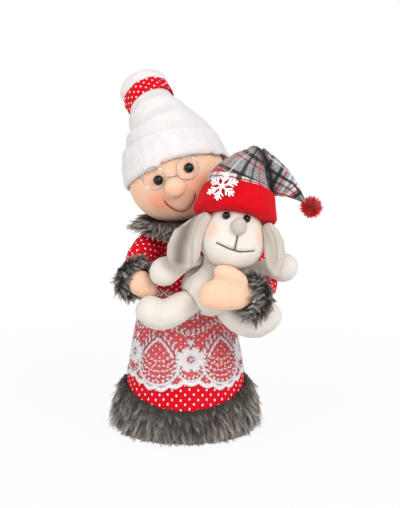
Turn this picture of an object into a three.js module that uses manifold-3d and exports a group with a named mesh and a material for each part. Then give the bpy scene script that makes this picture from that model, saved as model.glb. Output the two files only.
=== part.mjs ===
// A grandmother figure on a cone-shaped dress, hugging a plush dog: a holiday decoration.
// Millimetres. +X is to the right of the photograph, -Y is its front and +Z is up.
// The origin is the middle of the underside of the base board.
// "Right" and "left" are the figure's and the dog's own, so right is at -X.

import * as THREE from 'three';
import * as BufferGeometryUtils from 'three/addons/utils/BufferGeometryUtils.js';
import Module from 'manifold-3d';

const wasm = await Module();
wasm.setup();

// The gap that touching pieces keep.
const CLEARANCE = 0.3;

// Dress cone, from its hem to the neck, and the layers inside it.
const CONE_HEIGHT = 202;
const CONE_HEM_RADIUS = 63;
const CONE_NECK_RADIUS = 22;
const CONE_BULGE = 5;
const DRESS_CLOTH = 1.2;
const CARD_THICKNESS = 1.6;
const PADDING_AT_ENDS = 1.2;
const BOARD_THICKNESS = 4;
const BALLAST_RADIUS = 42;
const BALLAST_HEIGHT = 24;

// Lace over the skirt. Its pattern repeats round the cone, one wave of the lower edge for each repeat.
const LACE_TOP = 142;
const LACE_EDGE = 47;
const LACE_THICKNESS = 0.8;
const LACE_REPEATS = 5;
const LACE_TURN = 6;
const WAVE_DEPTH = 7;
const SCALLOPS_IN_REPEAT = 5;
const SCALLOP_DEPTH = 3;

// Fur trims: the size of the body of the fur, without its longest hairs.
const HEM_FUR_HEIGHT = 46;
const HEM_FUR_DIP = 15;
const HEM_FUR_DEPTH = 12;
const COLLAR_RADIUS = 43;
const COLLAR_HEIGHT = 26;
const CUFF_RADIUS = 21;
const CUFF_LENGTH = 22;

// The figure's head and what is on it.
const HEAD_SIZE = new THREE.Vector3(46, 40, 41);
const HEAD_LEAN = 22;
const HEAD_X = -7.7;
const HEAD_Y = -8;
const NOSE_RADIUS = 9.6;
const EYE_RADIUS = 4.3;
const EYE_SPACING = 30;
const EYE_HEIGHT = 9.6;
const MOUTH_THREAD = 1;
const LENS_RADIUS = 10.4;
const WIRE = 1;
const BRIM_RADIUS = 49;
const BRIM_TOP_RADIUS = 45;
const BRIM_WIDTH = 31;
const CAP_TIP_RADIUS = 23.4;
const RIBBON_WIDTH = 15;
const RIBBON_THICKNESS = 0.8;

// The figure's arms, and how far the shoulders are below the neck.
const SHOULDER_DROP = 12;
const SLEEVE_RADIUS = 13;
const WRIST_RADIUS = 10;
const PALM_HEIGHT = 15;
const PALM_DEPTH = 0.72;
const THUMB_RADIUS = 7.5;

// The dog, from its middle, and how far that is below the neck.
const DOG_X = 26;
const DOG_BELOW_NECK = 51;
const DOG_BODY_RADIUS = 30;
const DOG_BODY_DEPTH = 26;
const DOG_HEAD_SIZE = new THREE.Vector3(29, 27, 31);
const DOG_HEAD_LEAN = -10;
const DOG_HEAD_TAPER = 0.18;
const DOG_NOSE_RADIUS = 8.3;
const DOG_EYE_RADIUS = 3.2;
const DOG_THREAD = 0.9;
const EAR_THICKNESS = 8;
const EAR_WIDTH = 32;
const EAR_ROOT_WIDTH = 12;
const SIDE_EAR_WIDTH = 19.5;
const SHOULDER_RADIUS = 10;
const PAW_RADIUS = 14;
const HIP_RADIUS = 11.5;
const FOOT_RADIUS = 15;
const BAND_RADIUS = 39.5;
const BAND_TOP_RADIUS = 33;
const BAND_WIDTH = 29;
const BAND_FLATNESS = 0.87;
const TAIL_HEIGHT = 46;
const TAIL_THICKNESS = 18;
const POMPOM_RADIUS = 10.5;
const FLAKE_RADIUS = 14.5;
const FLAKE_ARM = 2.4;
const FLAKE_THICKNESS = 1.2;

// How far the dog's loose parts swing, in degrees.
const EAR_SWING = 50;
const ARM_SWING = 15;
const LEG_SWING = 12;
const TAIL_SWING = 40;

// Degrees between the copies of a limb that cut its path out of its neighbours.
const SWEEP_STEP = 17;
// The extra room that a socket cut out of the dog's body has.
const SOCKET_EASE = 0.6;
// Sides of the shapes that are turned about the cone's axis, and rings up them.
const ROUND = 36;
const LEVELS = 5;

const vec = (x, y, z) => new THREE.Vector3(x, y, z);
const near = (from, x, y, z) => from.clone().add(vec(x, y, z));
const radians = THREE.MathUtils.degToRad;

const FRONT = vec(0, -1, 0);
const UP = vec(0, 0, 1);

// A closed geometry as a manifold solid.
function solidOf(geometry) {
  geometry.deleteAttribute('normal');
  geometry.deleteAttribute('uv');
  const merged = BufferGeometryUtils.mergeVertices(geometry, 1e-4);
  const corners = merged.index.array;
  const triangles = [];
  for (let i = 0; i < corners.length; i += 3) {
    const [a, b, c] = corners.slice(i, i + 3);
    if (a !== b && b !== c && c !== a) triangles.push(a, b, c);
  }
  return new wasm.Manifold(new wasm.Mesh({
    numProp: 3,
    vertProperties: new Float32Array(merged.attributes.position.array),
    triVerts: new Uint32Array(triangles),
  }));
}

// A geometry from its points and the corners of its triangles.
function meshOf(points, triangles) {
  const geometry = new THREE.BufferGeometry();
  const numbers = points.flatMap((point) => point.toArray());
  geometry.setAttribute('position', new THREE.Float32BufferAttribute(numbers, 3));
  geometry.setIndex(triangles);
  return geometry;
}

// Rings of points joined into one closed skin, with a pole at each end.
function skin(rings, firstPole, lastPole) {
  const sides = rings[0].length;
  const points = [firstPole, ...rings.flat(), lastPole];
  const triangles = [];
  const corner = (ring, side) => 1 + ring * sides + (side % sides);
  for (let side = 0; side < sides; side++) {
    triangles.push(0, corner(0, side + 1), corner(0, side));
    triangles.push(points.length - 1, corner(rings.length - 1, side), corner(rings.length - 1, side + 1));
    for (let ring = 0; ring + 1 < rings.length; ring++) {
      const [a, b] = [corner(ring, side), corner(ring, side + 1)];
      const [c, d] = [corner(ring + 1, side + 1), corner(ring + 1, side)];
      triangles.push(a, b, c, a, c, d);
    }
  }
  return meshOf(points, triangles);
}

// A smooth value at step `at` of a list, by Catmull-Rom.
function smooth(values, at) {
  const i = Math.min(Math.floor(at), values.length - 2);
  const t = at - i;
  const [p1, p2] = [values[i], values[i + 1]];
  const p0 = values[i - 1] ?? p1;
  const p3 = values[i + 2] ?? p2;
  return p1 + 0.5 * t * (p2 - p0 + t * (2 * p0 - 5 * p1 + 4 * p2 - p3 + t * (3 * (p1 - p2) + p3 - p0)));
}

// A stuffed limb: oval rings along a path, rounded at both ends.
// `widths` are half widths; `depths`, or `depth` times the width, are half depths.
// Each form is a function of how far it is grown, so that it can cut its neighbours with a gap.
function limb({ path, widths, depth = 1, depths, caps = [1, 1], facing = FRONT, across, ...mesh }) {
  const { sides = 12, steps = 2 } = mesh;
  const curve = new THREE.CatmullRomCurve3(path);
  const last = path.length - 1;
  const ringAt = (step, grow, slide, shrink) => {
    const centre = curve.getPoint(step / last);
    const along = curve.getTangent(step / last).normalize();
    const out = facing.clone().addScaledVector(along, -facing.dot(along)).normalize();
    const side = across ? across.clone() : along.clone().cross(out).normalize();
    const width = smooth(widths, step);
    const thick = depths ? smooth(depths, step) : depth * width;
    centre.addScaledVector(along, slide * (Math.min(width, thick) + grow));
    return Array.from({ length: sides }, (_, i) => {
      const angle = (i / sides) * 2 * Math.PI;
      return centre.clone()
        .addScaledVector(side, (width + grow) * shrink * Math.cos(angle))
        .addScaledVector(out, (thick + grow) * shrink * Math.sin(angle));
    });
  };
  const poleAt = (step, grow, slide) => {
    const ring = ringAt(step, grow, slide, 1);
    return ring.reduce((sum, p) => sum.add(p), vec(0, 0, 0)).divideScalar(ring.length);
  };
  return (grow = 0) => {
    const rings = [];
    const turns = [60, 30];
    for (const turn of turns) {
      rings.push(ringAt(0, grow, -caps[0] * Math.sin(radians(turn)), Math.cos(radians(turn))));
    }
    for (let i = 0; i <= last * steps; i++) rings.push(ringAt(i / steps, grow, 0, 1));
    for (const turn of turns.toReversed()) {
      rings.push(ringAt(last, grow, caps[1] * Math.sin(radians(turn)), Math.cos(radians(turn))));
    }
    const geometry = skin(rings, poleAt(0, grow, -caps[0]), poleAt(last, grow, caps[1]));
    const solid = solidOf(geometry);
    return solid.volume() > 0 ? solid : solidOf(flipped(geometry));
  };
}

// The first few stations of a limb, more coarsely: the part of it that its neighbours make way for.
const rootOf = (spec, count) => {
  const [path, widths] = [spec.path.slice(0, count), spec.widths.slice(0, count)];
  const root = limb({ ...spec, path, widths, sides: 10, steps: 1 });
  return (grow = 0) => root(grow + SOCKET_EASE);
};

// The same skin with its faces turned the other way.
function flipped(geometry) {
  const turned = geometry.clone();
  turned.setIndex(Array.from(geometry.index.array).reverse());
  return turned;
}

// A stuffed ball in a frame of its own, with its features placed on its front.
// It narrows towards its top by `taper`, and leans towards -X by `lean` degrees.
function ball({ centre, size, lean = 0, taper = 0, axis, detail = 20 }) {
  const turn = new THREE.Matrix4().makeRotationY(radians(-lean));
  if (axis) {
    const quaternion = new THREE.Quaternion().setFromUnitVectors(UP, axis.clone().normalize());
    turn.makeRotationFromQuaternion(quaternion);
  }
  const frame = turn.clone().setPosition(centre);
  const form = (grow = 0) => {
    const geometry = new THREE.SphereGeometry(1, detail, Math.round(detail * 0.65)).rotateX(Math.PI / 2);
    const points = geometry.attributes.position;
    for (let i = 0; i < points.count; i++) {
      const narrow = 1 - taper * points.getZ(i);
      points.setXYZ(
        i,
        points.getX(i) * (size.x * narrow + grow),
        points.getY(i) * (size.y * narrow + grow),
        points.getZ(i) * (size.z + grow),
      );
    }
    return solidOf(geometry.applyMatrix4(frame));
  };
  const place = (u, v, w) => vec(u, v, w).applyMatrix4(frame);
  // The point of the front at u to the side and w up, lifted clear by `lift`.
  const on = (u, w, lift = 0) => {
    const narrow = 1 - (taper * w) / size.z;
    const [a, b] = [size.x * narrow, size.y * narrow];
    const v = -b * Math.sqrt(Math.max(0, 1 - (u / a) ** 2 - (w / size.z) ** 2));
    const normal = vec(u / a ** 2, v / b ** 2, w / size.z ** 2).normalize();
    return place(u + normal.x * lift, v + normal.y * lift, w + normal.z * lift);
  };
  return { form, place, on, frame, centre };
}

// A profile of [radius, height] points turned about +Z.
function turned(profile, segments = ROUND) {
  const points = profile.map(([radius, height]) => new THREE.Vector2(radius, height));
  return new THREE.LatheGeometry(points, segments).rotateX(Math.PI / 2);
}

// A round tube along a curve, such as a thread or a wire.
function tube(points, diameter, steps = 20) {
  const section = new THREE.Shape();
  section.absarc(0, 0, diameter / 2, 0, 2 * Math.PI);
  const extrudePath = new THREE.CatmullRomCurve3(points);
  const options = { steps, curveSegments: 3, bevelEnabled: false, extrudePath };
  return solidOf(new THREE.ExtrudeGeometry(section, options));
}

// The space that a form sweeps as it turns about a hinge, in steps of at most SWEEP_STEP degrees.
function swept(form, { at, axis, swing }, step = SWEEP_STEP) {
  const steps = Math.ceil(Math.abs(swing) / step);
  return (grow = 0) => {
    const still = form(grow);
    let space = still;
    for (let i = 1; i <= steps; i++) {
      const rotation = new THREE.Matrix4().makeRotationAxis(axis, radians((swing * i) / steps));
      const toHinge = new THREE.Matrix4().makeTranslation(-at.x, -at.y, -at.z);
      const back = new THREE.Matrix4().makeTranslation(at.x, at.y, at.z);
      space = space.add(still.transform(back.multiply(rotation).multiply(toHinge).elements));
    }
    return space;
  };
}

// The space that a fixed form takes up beside a part that turns about a hinge.
const passedBy = (form, hinge) => swept(form, { ...hinge, swing: -hinge.swing }, SWEEP_STEP / 3);

// The largest body of a solid, without the crumbs that a cut may leave.
function largest(solid) {
  return solid.decompose().reduce((best, body) => (body.volume() > best.volume() ? body : best));
}

const model = new THREE.Group();

// Adds one piece: its form, cut back with a gap by each of the other forms.
function piece(parent, name, { solid, cutBy = [], colour, roughness = 0.9, metalness = 0 }) {
  let body = solid;
  for (const cutter of cutBy) body = body.subtract(cutter(CLEARANCE));
  const { vertProperties, triVerts } = largest(body).getMesh();
  const geometry = new THREE.BufferGeometry();
  geometry.setAttribute('position', new THREE.BufferAttribute(vertProperties, 3));
  geometry.setIndex(new THREE.BufferAttribute(triVerts, 1));
  const home = vec(0, 0, 0);
  for (let group = parent; group; group = group.parent) home.add(group.position);
  geometry.translate(-home.x, -home.y, -home.z);
  geometry.computeVertexNormals();
  const material = new THREE.MeshStandardMaterial({ color: colour, roughness, metalness });
  const mesh = new THREE.Mesh(geometry, material);
  mesh.name = name;
  parent.add(mesh);
}

// A group whose own origin is at a point of the object.
function groupAt(point, parent = model) {
  const group = new THREE.Group();
  group.position.copy(point);
  for (let outer = parent; outer; outer = outer.parent) group.position.sub(outer.position);
  parent.add(group);
  return group;
}

const GLOSSY = 0.08;
const COLOURS = {
  skin: 0xf3c9a8,
  fleece: 0xf2eeee,
  dress: 0xd2112b,
  lace: 0xf7f3f0,
  fur: 0x6a615b,
  plush: 0xe8e2da,
  ear: 0xb9b0a5,
  felt: 0xd70f26,
  plaid: 0x8d8d8f,
  bead: 0x0b0b0c,
  wire: 0xb8b8ba,
  thread: 0xa01218,
  board: 0xb9a27e,
  padding: 0xf0f0ec,
  bag: 0xd8d2c0,
  snow: 0xf7f7f7,
};

// The cone: one curve from hem to neck, which every layer and all that leans on it follows.

const coneRadius = (z) => {
  const t = Math.min(Math.max(z / CONE_HEIGHT, 0), 1);
  return THREE.MathUtils.lerp(CONE_HEM_RADIUS, CONE_NECK_RADIUS, t) + CONE_BULGE * Math.sin(Math.PI * t);
};

function coneSolid(inset, bottom, top) {
  const profile = [[0, bottom]];
  for (let i = 0; i <= LEVELS; i++) {
    const z = THREE.MathUtils.lerp(bottom, top, i / LEVELS);
    profile.push([coneRadius(z) - inset, z]);
  }
  profile.push([0, top]);
  return solidOf(turned(profile));
}

const below = -CLEARANCE;
const cone = (grow = 0) => coneSolid(-grow, below, CONE_HEIGHT + grow);
const skirt = (grow = 0) => {
  const overLace = CLEARANCE + LACE_THICKNESS + grow;
  return cone(grow).add(coneSolid(-overLace, LACE_EDGE - grow, LACE_TOP + grow));
};

const boardTop = BOARD_THICKNESS + CLEARANCE;
const boardRadius = coneRadius(BOARD_THICKNESS) - DRESS_CLOTH - CLEARANCE;
const board = (grow = 0) => {
  const height = BOARD_THICKNESS + grow;
  return solidOf(turned([[0, 0], [boardRadius, 0], [boardRadius, height], [0, height]]));
};

const paddingTop = CONE_HEIGHT - DRESS_CLOTH - CLEARANCE;
const cardTop = paddingTop - PADDING_AT_ENDS - CLEARANCE;
const cardInset = DRESS_CLOTH + PADDING_AT_ENDS + 2 * CLEARANCE;
const card = (grow, bottom = boardTop) => {
  const radius = (z) => THREE.MathUtils.mapLinear(
    z,
    boardTop,
    cardTop,
    coneRadius(boardTop) - cardInset,
    CONE_NECK_RADIUS - cardInset,
  );
  const top = cardTop + grow;
  const [low, high] = [radius(bottom) + grow, radius(top) + grow];
  return solidOf(turned([[0, bottom], [low, bottom], [high, top], [0, top]]));
};

const ballast = ball({
  centre: vec(0, 0, boardTop + BALLAST_HEIGHT * 0.4),
  size: vec(BALLAST_RADIUS, BALLAST_RADIUS, BALLAST_HEIGHT * 0.6),
  detail: 16,
});

const body = groupAt(vec(0, 0, 0));
piece(body, 'base_board', { solid: board(), colour: COLOURS.board, roughness: 0.85 });
piece(body, 'ballast_bag', { solid: ballast.form(), cutBy: [board], colour: COLOURS.bag });
piece(body, 'cone_core', {
  solid: card(0).subtract(card(-CARD_THICKNESS, below)),
  colour: COLOURS.board,
  roughness: 0.85,
});
piece(body, 'body_padding', {
  solid: coneSolid(DRESS_CLOTH + CLEARANCE, boardTop, paddingTop).subtract(card(CLEARANCE, below)),
  colour: COLOURS.padding,
});
const insideDress = coneSolid(DRESS_CLOTH, below, CONE_HEIGHT - DRESS_CLOTH);
piece(body, 'dress_cone', {
  solid: coneSolid(0, CLEARANCE, CONE_HEIGHT).subtract(insideDress),
  colour: COLOURS.dress,
});

// The lace: a sheet around the cone whose lower edge hangs in waves of small scallops.
// The flower of each repeat stands over the highest point of a wave.
function laceSheet() {
  const scallops = LACE_REPEATS * SCALLOPS_IN_REPEAT;
  const sides = scallops * 3;
  const levels = 3;
  const ring = (level, lift) => Array.from({ length: sides }, (_, i) => {
    const fromFlower = (i / sides) * 2 * Math.PI;
    const angle = fromFlower + radians(LACE_TURN - 90);
    const wave = WAVE_DEPTH * (0.5 + 0.5 * Math.cos(LACE_REPEATS * fromFlower));
    const scallop = SCALLOP_DEPTH * (1 - Math.abs(Math.cos((scallops * fromFlower) / 2)));
    const z = THREE.MathUtils.lerp(LACE_EDGE + wave + scallop, LACE_TOP, level / levels);
    const radius = coneRadius(z) + lift;
    return vec(radius * Math.cos(angle), radius * Math.sin(angle), z);
  });
  const inner = Array.from({ length: levels + 1 }, (_, i) => ring(levels - i, CLEARANCE));
  const outer = Array.from({ length: levels + 1 }, (_, i) => ring(i, CLEARANCE + LACE_THICKNESS));
  const rings = [...inner, ...outer];
  const triangles = [];
  rings.forEach((_, r) => {
    const next = (r + 1) % rings.length;
    for (let i = 0; i < sides; i++) {
      const j = (i + 1) % sides;
      const [a, b, c, d] = [r * sides + i, r * sides + j, next * sides + j, next * sides + i];
      triangles.push(a, b, c, a, c, d);
    }
  });
  return solidOf(meshOf(rings.flat(), triangles));
}
piece(body, 'lace_overlay', { solid: laceSheet(), colour: COLOURS.lace });

// The fur strip round the hem sits lower in front, where it shows more of the skirt.
function hemFur() {
  const profile = [[0, CLEARANCE]];
  for (let i = 0; i <= LEVELS; i++) {
    const rise = i / LEVELS;
    const fullness = Math.sqrt(1 - ((rise - 0.4) / 0.62) ** 2);
    const height = THREE.MathUtils.lerp(CLEARANCE, HEM_FUR_HEIGHT, rise);
    profile.push([CONE_HEM_RADIUS + HEM_FUR_DEPTH * fullness, height]);
  }
  profile.push([0, HEM_FUR_HEIGHT]);
  const geometry = turned(profile);
  const points = geometry.attributes.position;
  for (let i = 0; i < points.count; i++) {
    const point = new THREE.Vector3().fromBufferAttribute(points, i);
    const radius = Math.hypot(point.x, point.y);
    const frontness = radius > 0 ? Math.max(0, -point.y / radius) : 0;
    const rise = (point.z - CLEARANCE) / (HEM_FUR_HEIGHT - CLEARANCE);
    const z = point.z - rise * HEM_FUR_DIP * frontness ** 1.5;
    const scale = radius > 0 ? (radius - CONE_HEM_RADIUS + coneRadius(z)) / radius : 0;
    points.setXYZ(i, point.x * scale, point.y * scale, z);
  }
  return solidOf(geometry);
}
piece(body, 'hem_fur', { solid: hemFur(), cutBy: [cone], colour: COLOURS.fur });

// The figure's head stands on the neck of the cone, so its height follows from its own size.
const lean = radians(HEAD_LEAN);
const headRise = Math.hypot(HEAD_SIZE.z * Math.cos(lean), HEAD_SIZE.x * Math.sin(lean));
const headZ = CONE_HEIGHT + CLEARANCE + headRise;
const head = ball({ centre: vec(HEAD_X, HEAD_Y, headZ), size: HEAD_SIZE, lean: HEAD_LEAN });
const headGroup = groupAt(head.centre);

const noseU = -1.8;
const noseW = -1.8;
const nose = ball({
  centre: head.place(noseU, -(HEAD_SIZE.y + NOSE_RADIUS * 0.2), noseW),
  size: vec(NOSE_RADIUS * 1.04, NOSE_RADIUS, NOSE_RADIUS),
  detail: 14,
});
piece(headGroup, 'head', { solid: head.form(), colour: COLOURS.skin });
piece(headGroup, 'nose', { solid: nose.form(), cutBy: [head.form], colour: COLOURS.skin });

const eyeMiddle = 1.2;
for (const [name, side] of [['eye_right', -1], ['eye_left', 1]]) {
  const eye = ball({
    centre: head.on(eyeMiddle + (side * EYE_SPACING) / 2, EYE_HEIGHT, EYE_RADIUS * 0.2),
    size: vec(EYE_RADIUS, EYE_RADIUS, EYE_RADIUS),
    detail: 10,
  });
  piece(headGroup, name, {
    solid: eye.form(),
    cutBy: [head.form, nose.form],
    colour: COLOURS.bead,
    roughness: GLOSSY,
  });
}

// A stitched thread lies on its ball through points given as [to the side, up].
const threadOn = (on, diameter, points) => (
  tube(points.map(([u, w]) => on.on(u, w, diameter / 2 + CLEARANCE)), diameter)
);
const smile = [
  [-15.8, -8.2], [-13.6, -16.5], [-11.2, -21.8], [-7.2, -24.8], [-1.9, -26], [5, -23], [10.4, -17.2], [12, -13.9],
];
piece(headGroup, 'mouth_thread', {
  solid: threadOn(head, MOUTH_THREAD, smile),
  colour: COLOURS.thread,
});

// Wire spectacles: the rims meet the nose, the bridge rests on it and the temples go under the brim.
const spectacles = (grow = 0) => {
  const wire = WIRE + 2 * grow;
  const plane = -(HEAD_SIZE.y + WIRE / 2 + CLEARANCE);
  const reach = NOSE_RADIUS * 1.04 + LENS_RADIUS + WIRE / 2 + CLEARANCE;
  const lensAt = (degrees) => [noseU + reach * Math.cos(radians(degrees)), noseW + reach * Math.sin(radians(degrees))];
  const [right, left] = [lensAt(135), lensAt(36)];
  const rimPoint = ([u, w], degrees) => head.place(
    u + LENS_RADIUS * Math.cos(radians(degrees)),
    plane,
    w + LENS_RADIUS * Math.sin(radians(degrees)),
  );
  const overNose = head.place(noseU, plane, noseW + NOSE_RADIUS + WIRE / 2 + CLEARANCE);
  let frame = tube([rimPoint(right, -10), overNose, rimPoint(left, 195)], wire, 8);
  for (const [side, lens, start] of [[-1, right, 165], [1, left, 55]]) {
    const ring = new THREE.TorusGeometry(LENS_RADIUS, wire / 2, 4, 20).rotateX(Math.PI / 2);
    ring.translate(lens[0], plane, lens[1]).applyMatrix4(head.frame);
    const height = lens[1] + 5;
    const shrink = Math.sqrt(1 - (height / HEAD_SIZE.z) ** 2);
    const lift = WIRE * 0.6 + CLEARANCE;
    const templeAt = (degrees) => head.place(
      side * (HEAD_SIZE.x * shrink + lift) * Math.sin(radians(degrees)),
      -(HEAD_SIZE.y * shrink + lift) * Math.cos(radians(degrees)),
      height,
    );
    frame = frame.add(solidOf(ring)).add(tube([rimPoint(lens, start), templeAt(52), templeAt(66)], wire, 8));
  }
  return frame;
};
piece(headGroup, 'spectacles', { solid: spectacles(), colour: COLOURS.wire, roughness: 0.25, metalness: 1 });

// The fleece cap: a brim folded up around the head, and a crown that leans back to a gathered end.
const brimAxis = vec(-0.234, 0.476, 0.848).normalize();
const brimBase = near(head.centre, -1.7, 2, 2.9);
const brimFrame = new THREE.Matrix4()
  .makeRotationFromQuaternion(new THREE.Quaternion().setFromUnitVectors(UP, brimAxis))
  .setPosition(brimBase);
function brimSolid() {
  const edge = 3.5;
  const profile = [
    [0, 0], [BRIM_RADIUS - edge, 0], [BRIM_RADIUS - 1, 1], [BRIM_RADIUS, edge],
    [(BRIM_RADIUS + BRIM_TOP_RADIUS) / 2 + 0.6, BRIM_WIDTH / 2], [BRIM_TOP_RADIUS, BRIM_WIDTH - edge],
    [BRIM_TOP_RADIUS - 1, BRIM_WIDTH - 1], [BRIM_TOP_RADIUS - edge, BRIM_WIDTH], [0, BRIM_WIDTH],
  ];
  return solidOf(turned(profile, 24).applyMatrix4(brimFrame));
}
const brimPoint = (along) => brimBase.clone().addScaledVector(brimAxis, along);
const tipAxis = vec(-0.33, 0.7, 0.625).normalize();
const ribbonMiddle = near(head.centre, -25.8, 38, 67.2);
const tipPoint = (along) => ribbonMiddle.clone().addScaledVector(tipAxis, along);
const capDome = limb({
  path: [brimPoint(14), brimPoint(BRIM_WIDTH), near(head.centre, -12, 25, 46.7), near(head.centre, -19, 30.5, 57)],
  widths: [41, 40.5, 35.5, CAP_TIP_RADIUS + 2],
  caps: [0.2, 0.5],
  sides: 18,
});
const capTip = limb({
  path: [
    tipPoint(-RIBBON_WIDTH * 1.3), tipPoint(-RIBBON_WIDTH * 0.6), tipPoint(0), tipPoint(RIBBON_WIDTH * 0.6),
    tipPoint(RIBBON_WIDTH),
  ],
  widths: [CAP_TIP_RADIUS + 4, CAP_TIP_RADIUS + 0.6, CAP_TIP_RADIUS, CAP_TIP_RADIUS, CAP_TIP_RADIUS + 2.6],
  caps: [0.2, 0.3],
  sides: 18,
  steps: 1,
});
const crown = (grow = 0) => capDome(grow).add(capTip(grow));
const ribbonRadius = CAP_TIP_RADIUS + CLEARANCE + RIBBON_THICKNESS;
const ribbonFrame = new THREE.Matrix4()
  .makeRotationFromQuaternion(new THREE.Quaternion().setFromUnitVectors(UP, tipAxis))
  .setPosition(ribbonMiddle);
const ribbon = solidOf(turned([
  [0, -RIBBON_WIDTH / 2],
  [ribbonRadius, -RIBBON_WIDTH / 2],
  [ribbonRadius, RIBBON_WIDTH / 2],
  [0, RIBBON_WIDTH / 2],
], 24).applyMatrix4(ribbonFrame));
const headUnderCap = (grow) => head.form(grow + WIRE + 2 * CLEARANCE);
piece(headGroup, 'cap_brim', { solid: brimSolid(), cutBy: [crown, headUnderCap, spectacles], colour: COLOURS.fleece });
piece(headGroup, 'cap_crown', { solid: crown(), cutBy: [head.form], colour: COLOURS.fleece });
piece(headGroup, 'cap_ribbon', { solid: ribbon, cutBy: [crown], colour: COLOURS.dress });

// The dog sits against the front of the cone, and its own parts are placed from its middle.
const dogZ = CONE_HEIGHT - DOG_BELOW_NECK;
const dog = vec(DOG_X, -(coneRadius(dogZ) + DOG_BODY_DEPTH * 0.97), dogZ);
const dogBody = limb({
  path: [near(dog, 0, 0, -4), near(dog, 3, -2, 8), near(dog, 6.5, -4.5, 22)],
  widths: [DOG_BODY_RADIUS, DOG_BODY_RADIUS - 1.5, DOG_BODY_RADIUS * 0.64],
  depth: DOG_BODY_DEPTH / DOG_BODY_RADIUS,
  caps: [0.9, 0.6],
  sides: 16,
});
const dogHead = ball({
  centre: near(dog, 18, -16, 52),
  size: DOG_HEAD_SIZE,
  lean: DOG_HEAD_LEAN,
  taper: DOG_HEAD_TAPER,
});
const dogHeadAt = (x, y, z) => near(dogHead.centre, x, y, z);

// The felt band of the dog's cap is tilted, with its front edge up.
const bandAxis = vec(0.15, 0.5, 0.853).normalize();
const bandBase = dogHeadAt(1, 1, 14.5);

// The ears hang from just under the band, beside the head, and swing forward.
const forward = vec(-1, 0, 0);
const earHinge = (x, y) => {
  const at = dogHeadAt(x, y, 0);
  const [dx, dy] = [at.x - bandBase.x, at.y - bandBase.y];
  const underBand = bandBase.z - (dx * bandAxis.x + dy * bandAxis.y) / bandAxis.z;
  const tilt = (EAR_ROOT_WIDTH / 2) * (bandAxis.x / bandAxis.z);
  at.z = underBand - tilt - (EAR_THICKNESS / 2 + CLEARANCE) / bandAxis.z;
  return { at, axis: forward, swing: EAR_SWING };
};
const earShape = (hinge, width, offsets, shares) => ({
  path: [hinge.at, ...offsets.map(([x, y, z]) => near(hinge.at, x, y, z))],
  widths: [EAR_ROOT_WIDTH / 2, ...shares.map((share) => (share * width) / 2)],
  depths: Array(shares.length + 1).fill(EAR_THICKNESS / 2),
  steps: 1,
});
const earRightHinge = earHinge(-24, -8);
const earRight = limb(earShape(earRightHinge, EAR_WIDTH, [
  [-9, -3.5, -8.5], [-17, -6, -18], [-20, -8, -26.5], [-20.6, -9, -33], [-20, -9.5, -38], [-19, -9.5, -42.5],
], [0.62, 0.92, 1, 0.97, 0.86, 0.58]));
const earLeftHinge = earHinge(30.5, -9);
const earLeft = limb(earShape(earLeftHinge, SIDE_EAR_WIDTH, [
  [3, -1.5, -5.5], [5.7, -3, -13.5], [6.6, -5, -22], [6.7, -6, -30], [7.2, -6, -36.5], [7.5, -6, -41],
], [0.82, 0.96, 1, 0.94, 0.78, 0.5]));

// Arms and legs are sewn on at the shoulder and the hip, and swing in the plane of the photograph.
const clockwise = vec(0, 1, 0);
const anticlockwise = vec(0, -1, 0);
const armRightHinge = { at: near(dog, -19, -6, 25), axis: clockwise, swing: ARM_SWING };
const armRightShape = {
  path: [armRightHinge.at, near(dog, -32, -9.5, 21.5), near(dog, -44.6, -13, 17.5)],
  widths: [SHOULDER_RADIUS, SHOULDER_RADIUS * 1.2, PAW_RADIUS],
};
const armRight = limb(armRightShape);
const armLeftHinge = { at: near(dog, 29, 1, 12), axis: anticlockwise, swing: ARM_SWING };
const armLeftShape = {
  path: [armLeftHinge.at, near(dog, 46, 2, 15), near(dog, 64.5, -1, 19)],
  widths: [SHOULDER_RADIUS * 0.9, SHOULDER_RADIUS, PAW_RADIUS],
};
const armLeft = limb(armLeftShape);
const legRightHinge = { at: near(dog, -16.5, -5, -10), axis: anticlockwise, swing: LEG_SWING };
const legRightShape = {
  path: [
    legRightHinge.at, near(dog, -28.5, -10, -15), near(dog, -41, -15, -21.5), near(dog, -51, -17, -21.5),
    near(dog, -58.5, -18, -17),
  ],
  widths: [HIP_RADIUS, FOOT_RADIUS * 0.9, FOOT_RADIUS * 0.95, FOOT_RADIUS, FOOT_RADIUS * 0.95],
  caps: [1, 0.85],
};
const legRight = limb(legRightShape);
const legLeftHinge = { at: near(dog, 9, -4, -13.5), axis: clockwise, swing: LEG_SWING };
const legLeftShape = {
  path: [
    legLeftHinge.at, near(dog, 18, -4, -24), near(dog, 28, -5, -30.5), near(dog, 40.5, -7, -31.5),
    near(dog, 51.5, -9, -24),
  ],
  widths: [HIP_RADIUS, FOOT_RADIUS * 0.9, FOOT_RADIUS * 0.97, FOOT_RADIUS, FOOT_RADIUS * 0.9],
  caps: [1, 0.85],
};
const legLeft = limb(legLeftShape);

// The figure's arms: sleeve, fur cuff and mitten hand, the left one round the dog.
// They are placed from the cone's axis at the height of the shoulders.
const shoulders = vec(0, 0, CONE_HEIGHT - SHOULDER_DROP);
const sleeveRight = limb({
  path: [
    near(shoulders, -16, -2, 0), near(shoulders, -31, -15, -6), near(shoulders, -42.5, -31, -17),
    near(shoulders, -49, -44, -30),
  ],
  widths: [SLEEVE_RADIUS * 0.8, SLEEVE_RADIUS, SLEEVE_RADIUS, WRIST_RADIUS],
  facing: UP,
});
const sleeveLeft = limb({
  path: [
    near(shoulders, 18, -4, 0), near(dog, 23, 51, 30), near(dog, 42, 36, 17), near(dog, 48.5, 17, 7),
    near(dog, 49, -4, 1.5), near(dog, 42, -19, 0),
  ],
  widths: [SLEEVE_RADIUS * 0.8, SLEEVE_RADIUS, SLEEVE_RADIUS, WRIST_RADIUS * 1.1, WRIST_RADIUS, WRIST_RADIUS],
  facing: UP,
});
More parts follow.
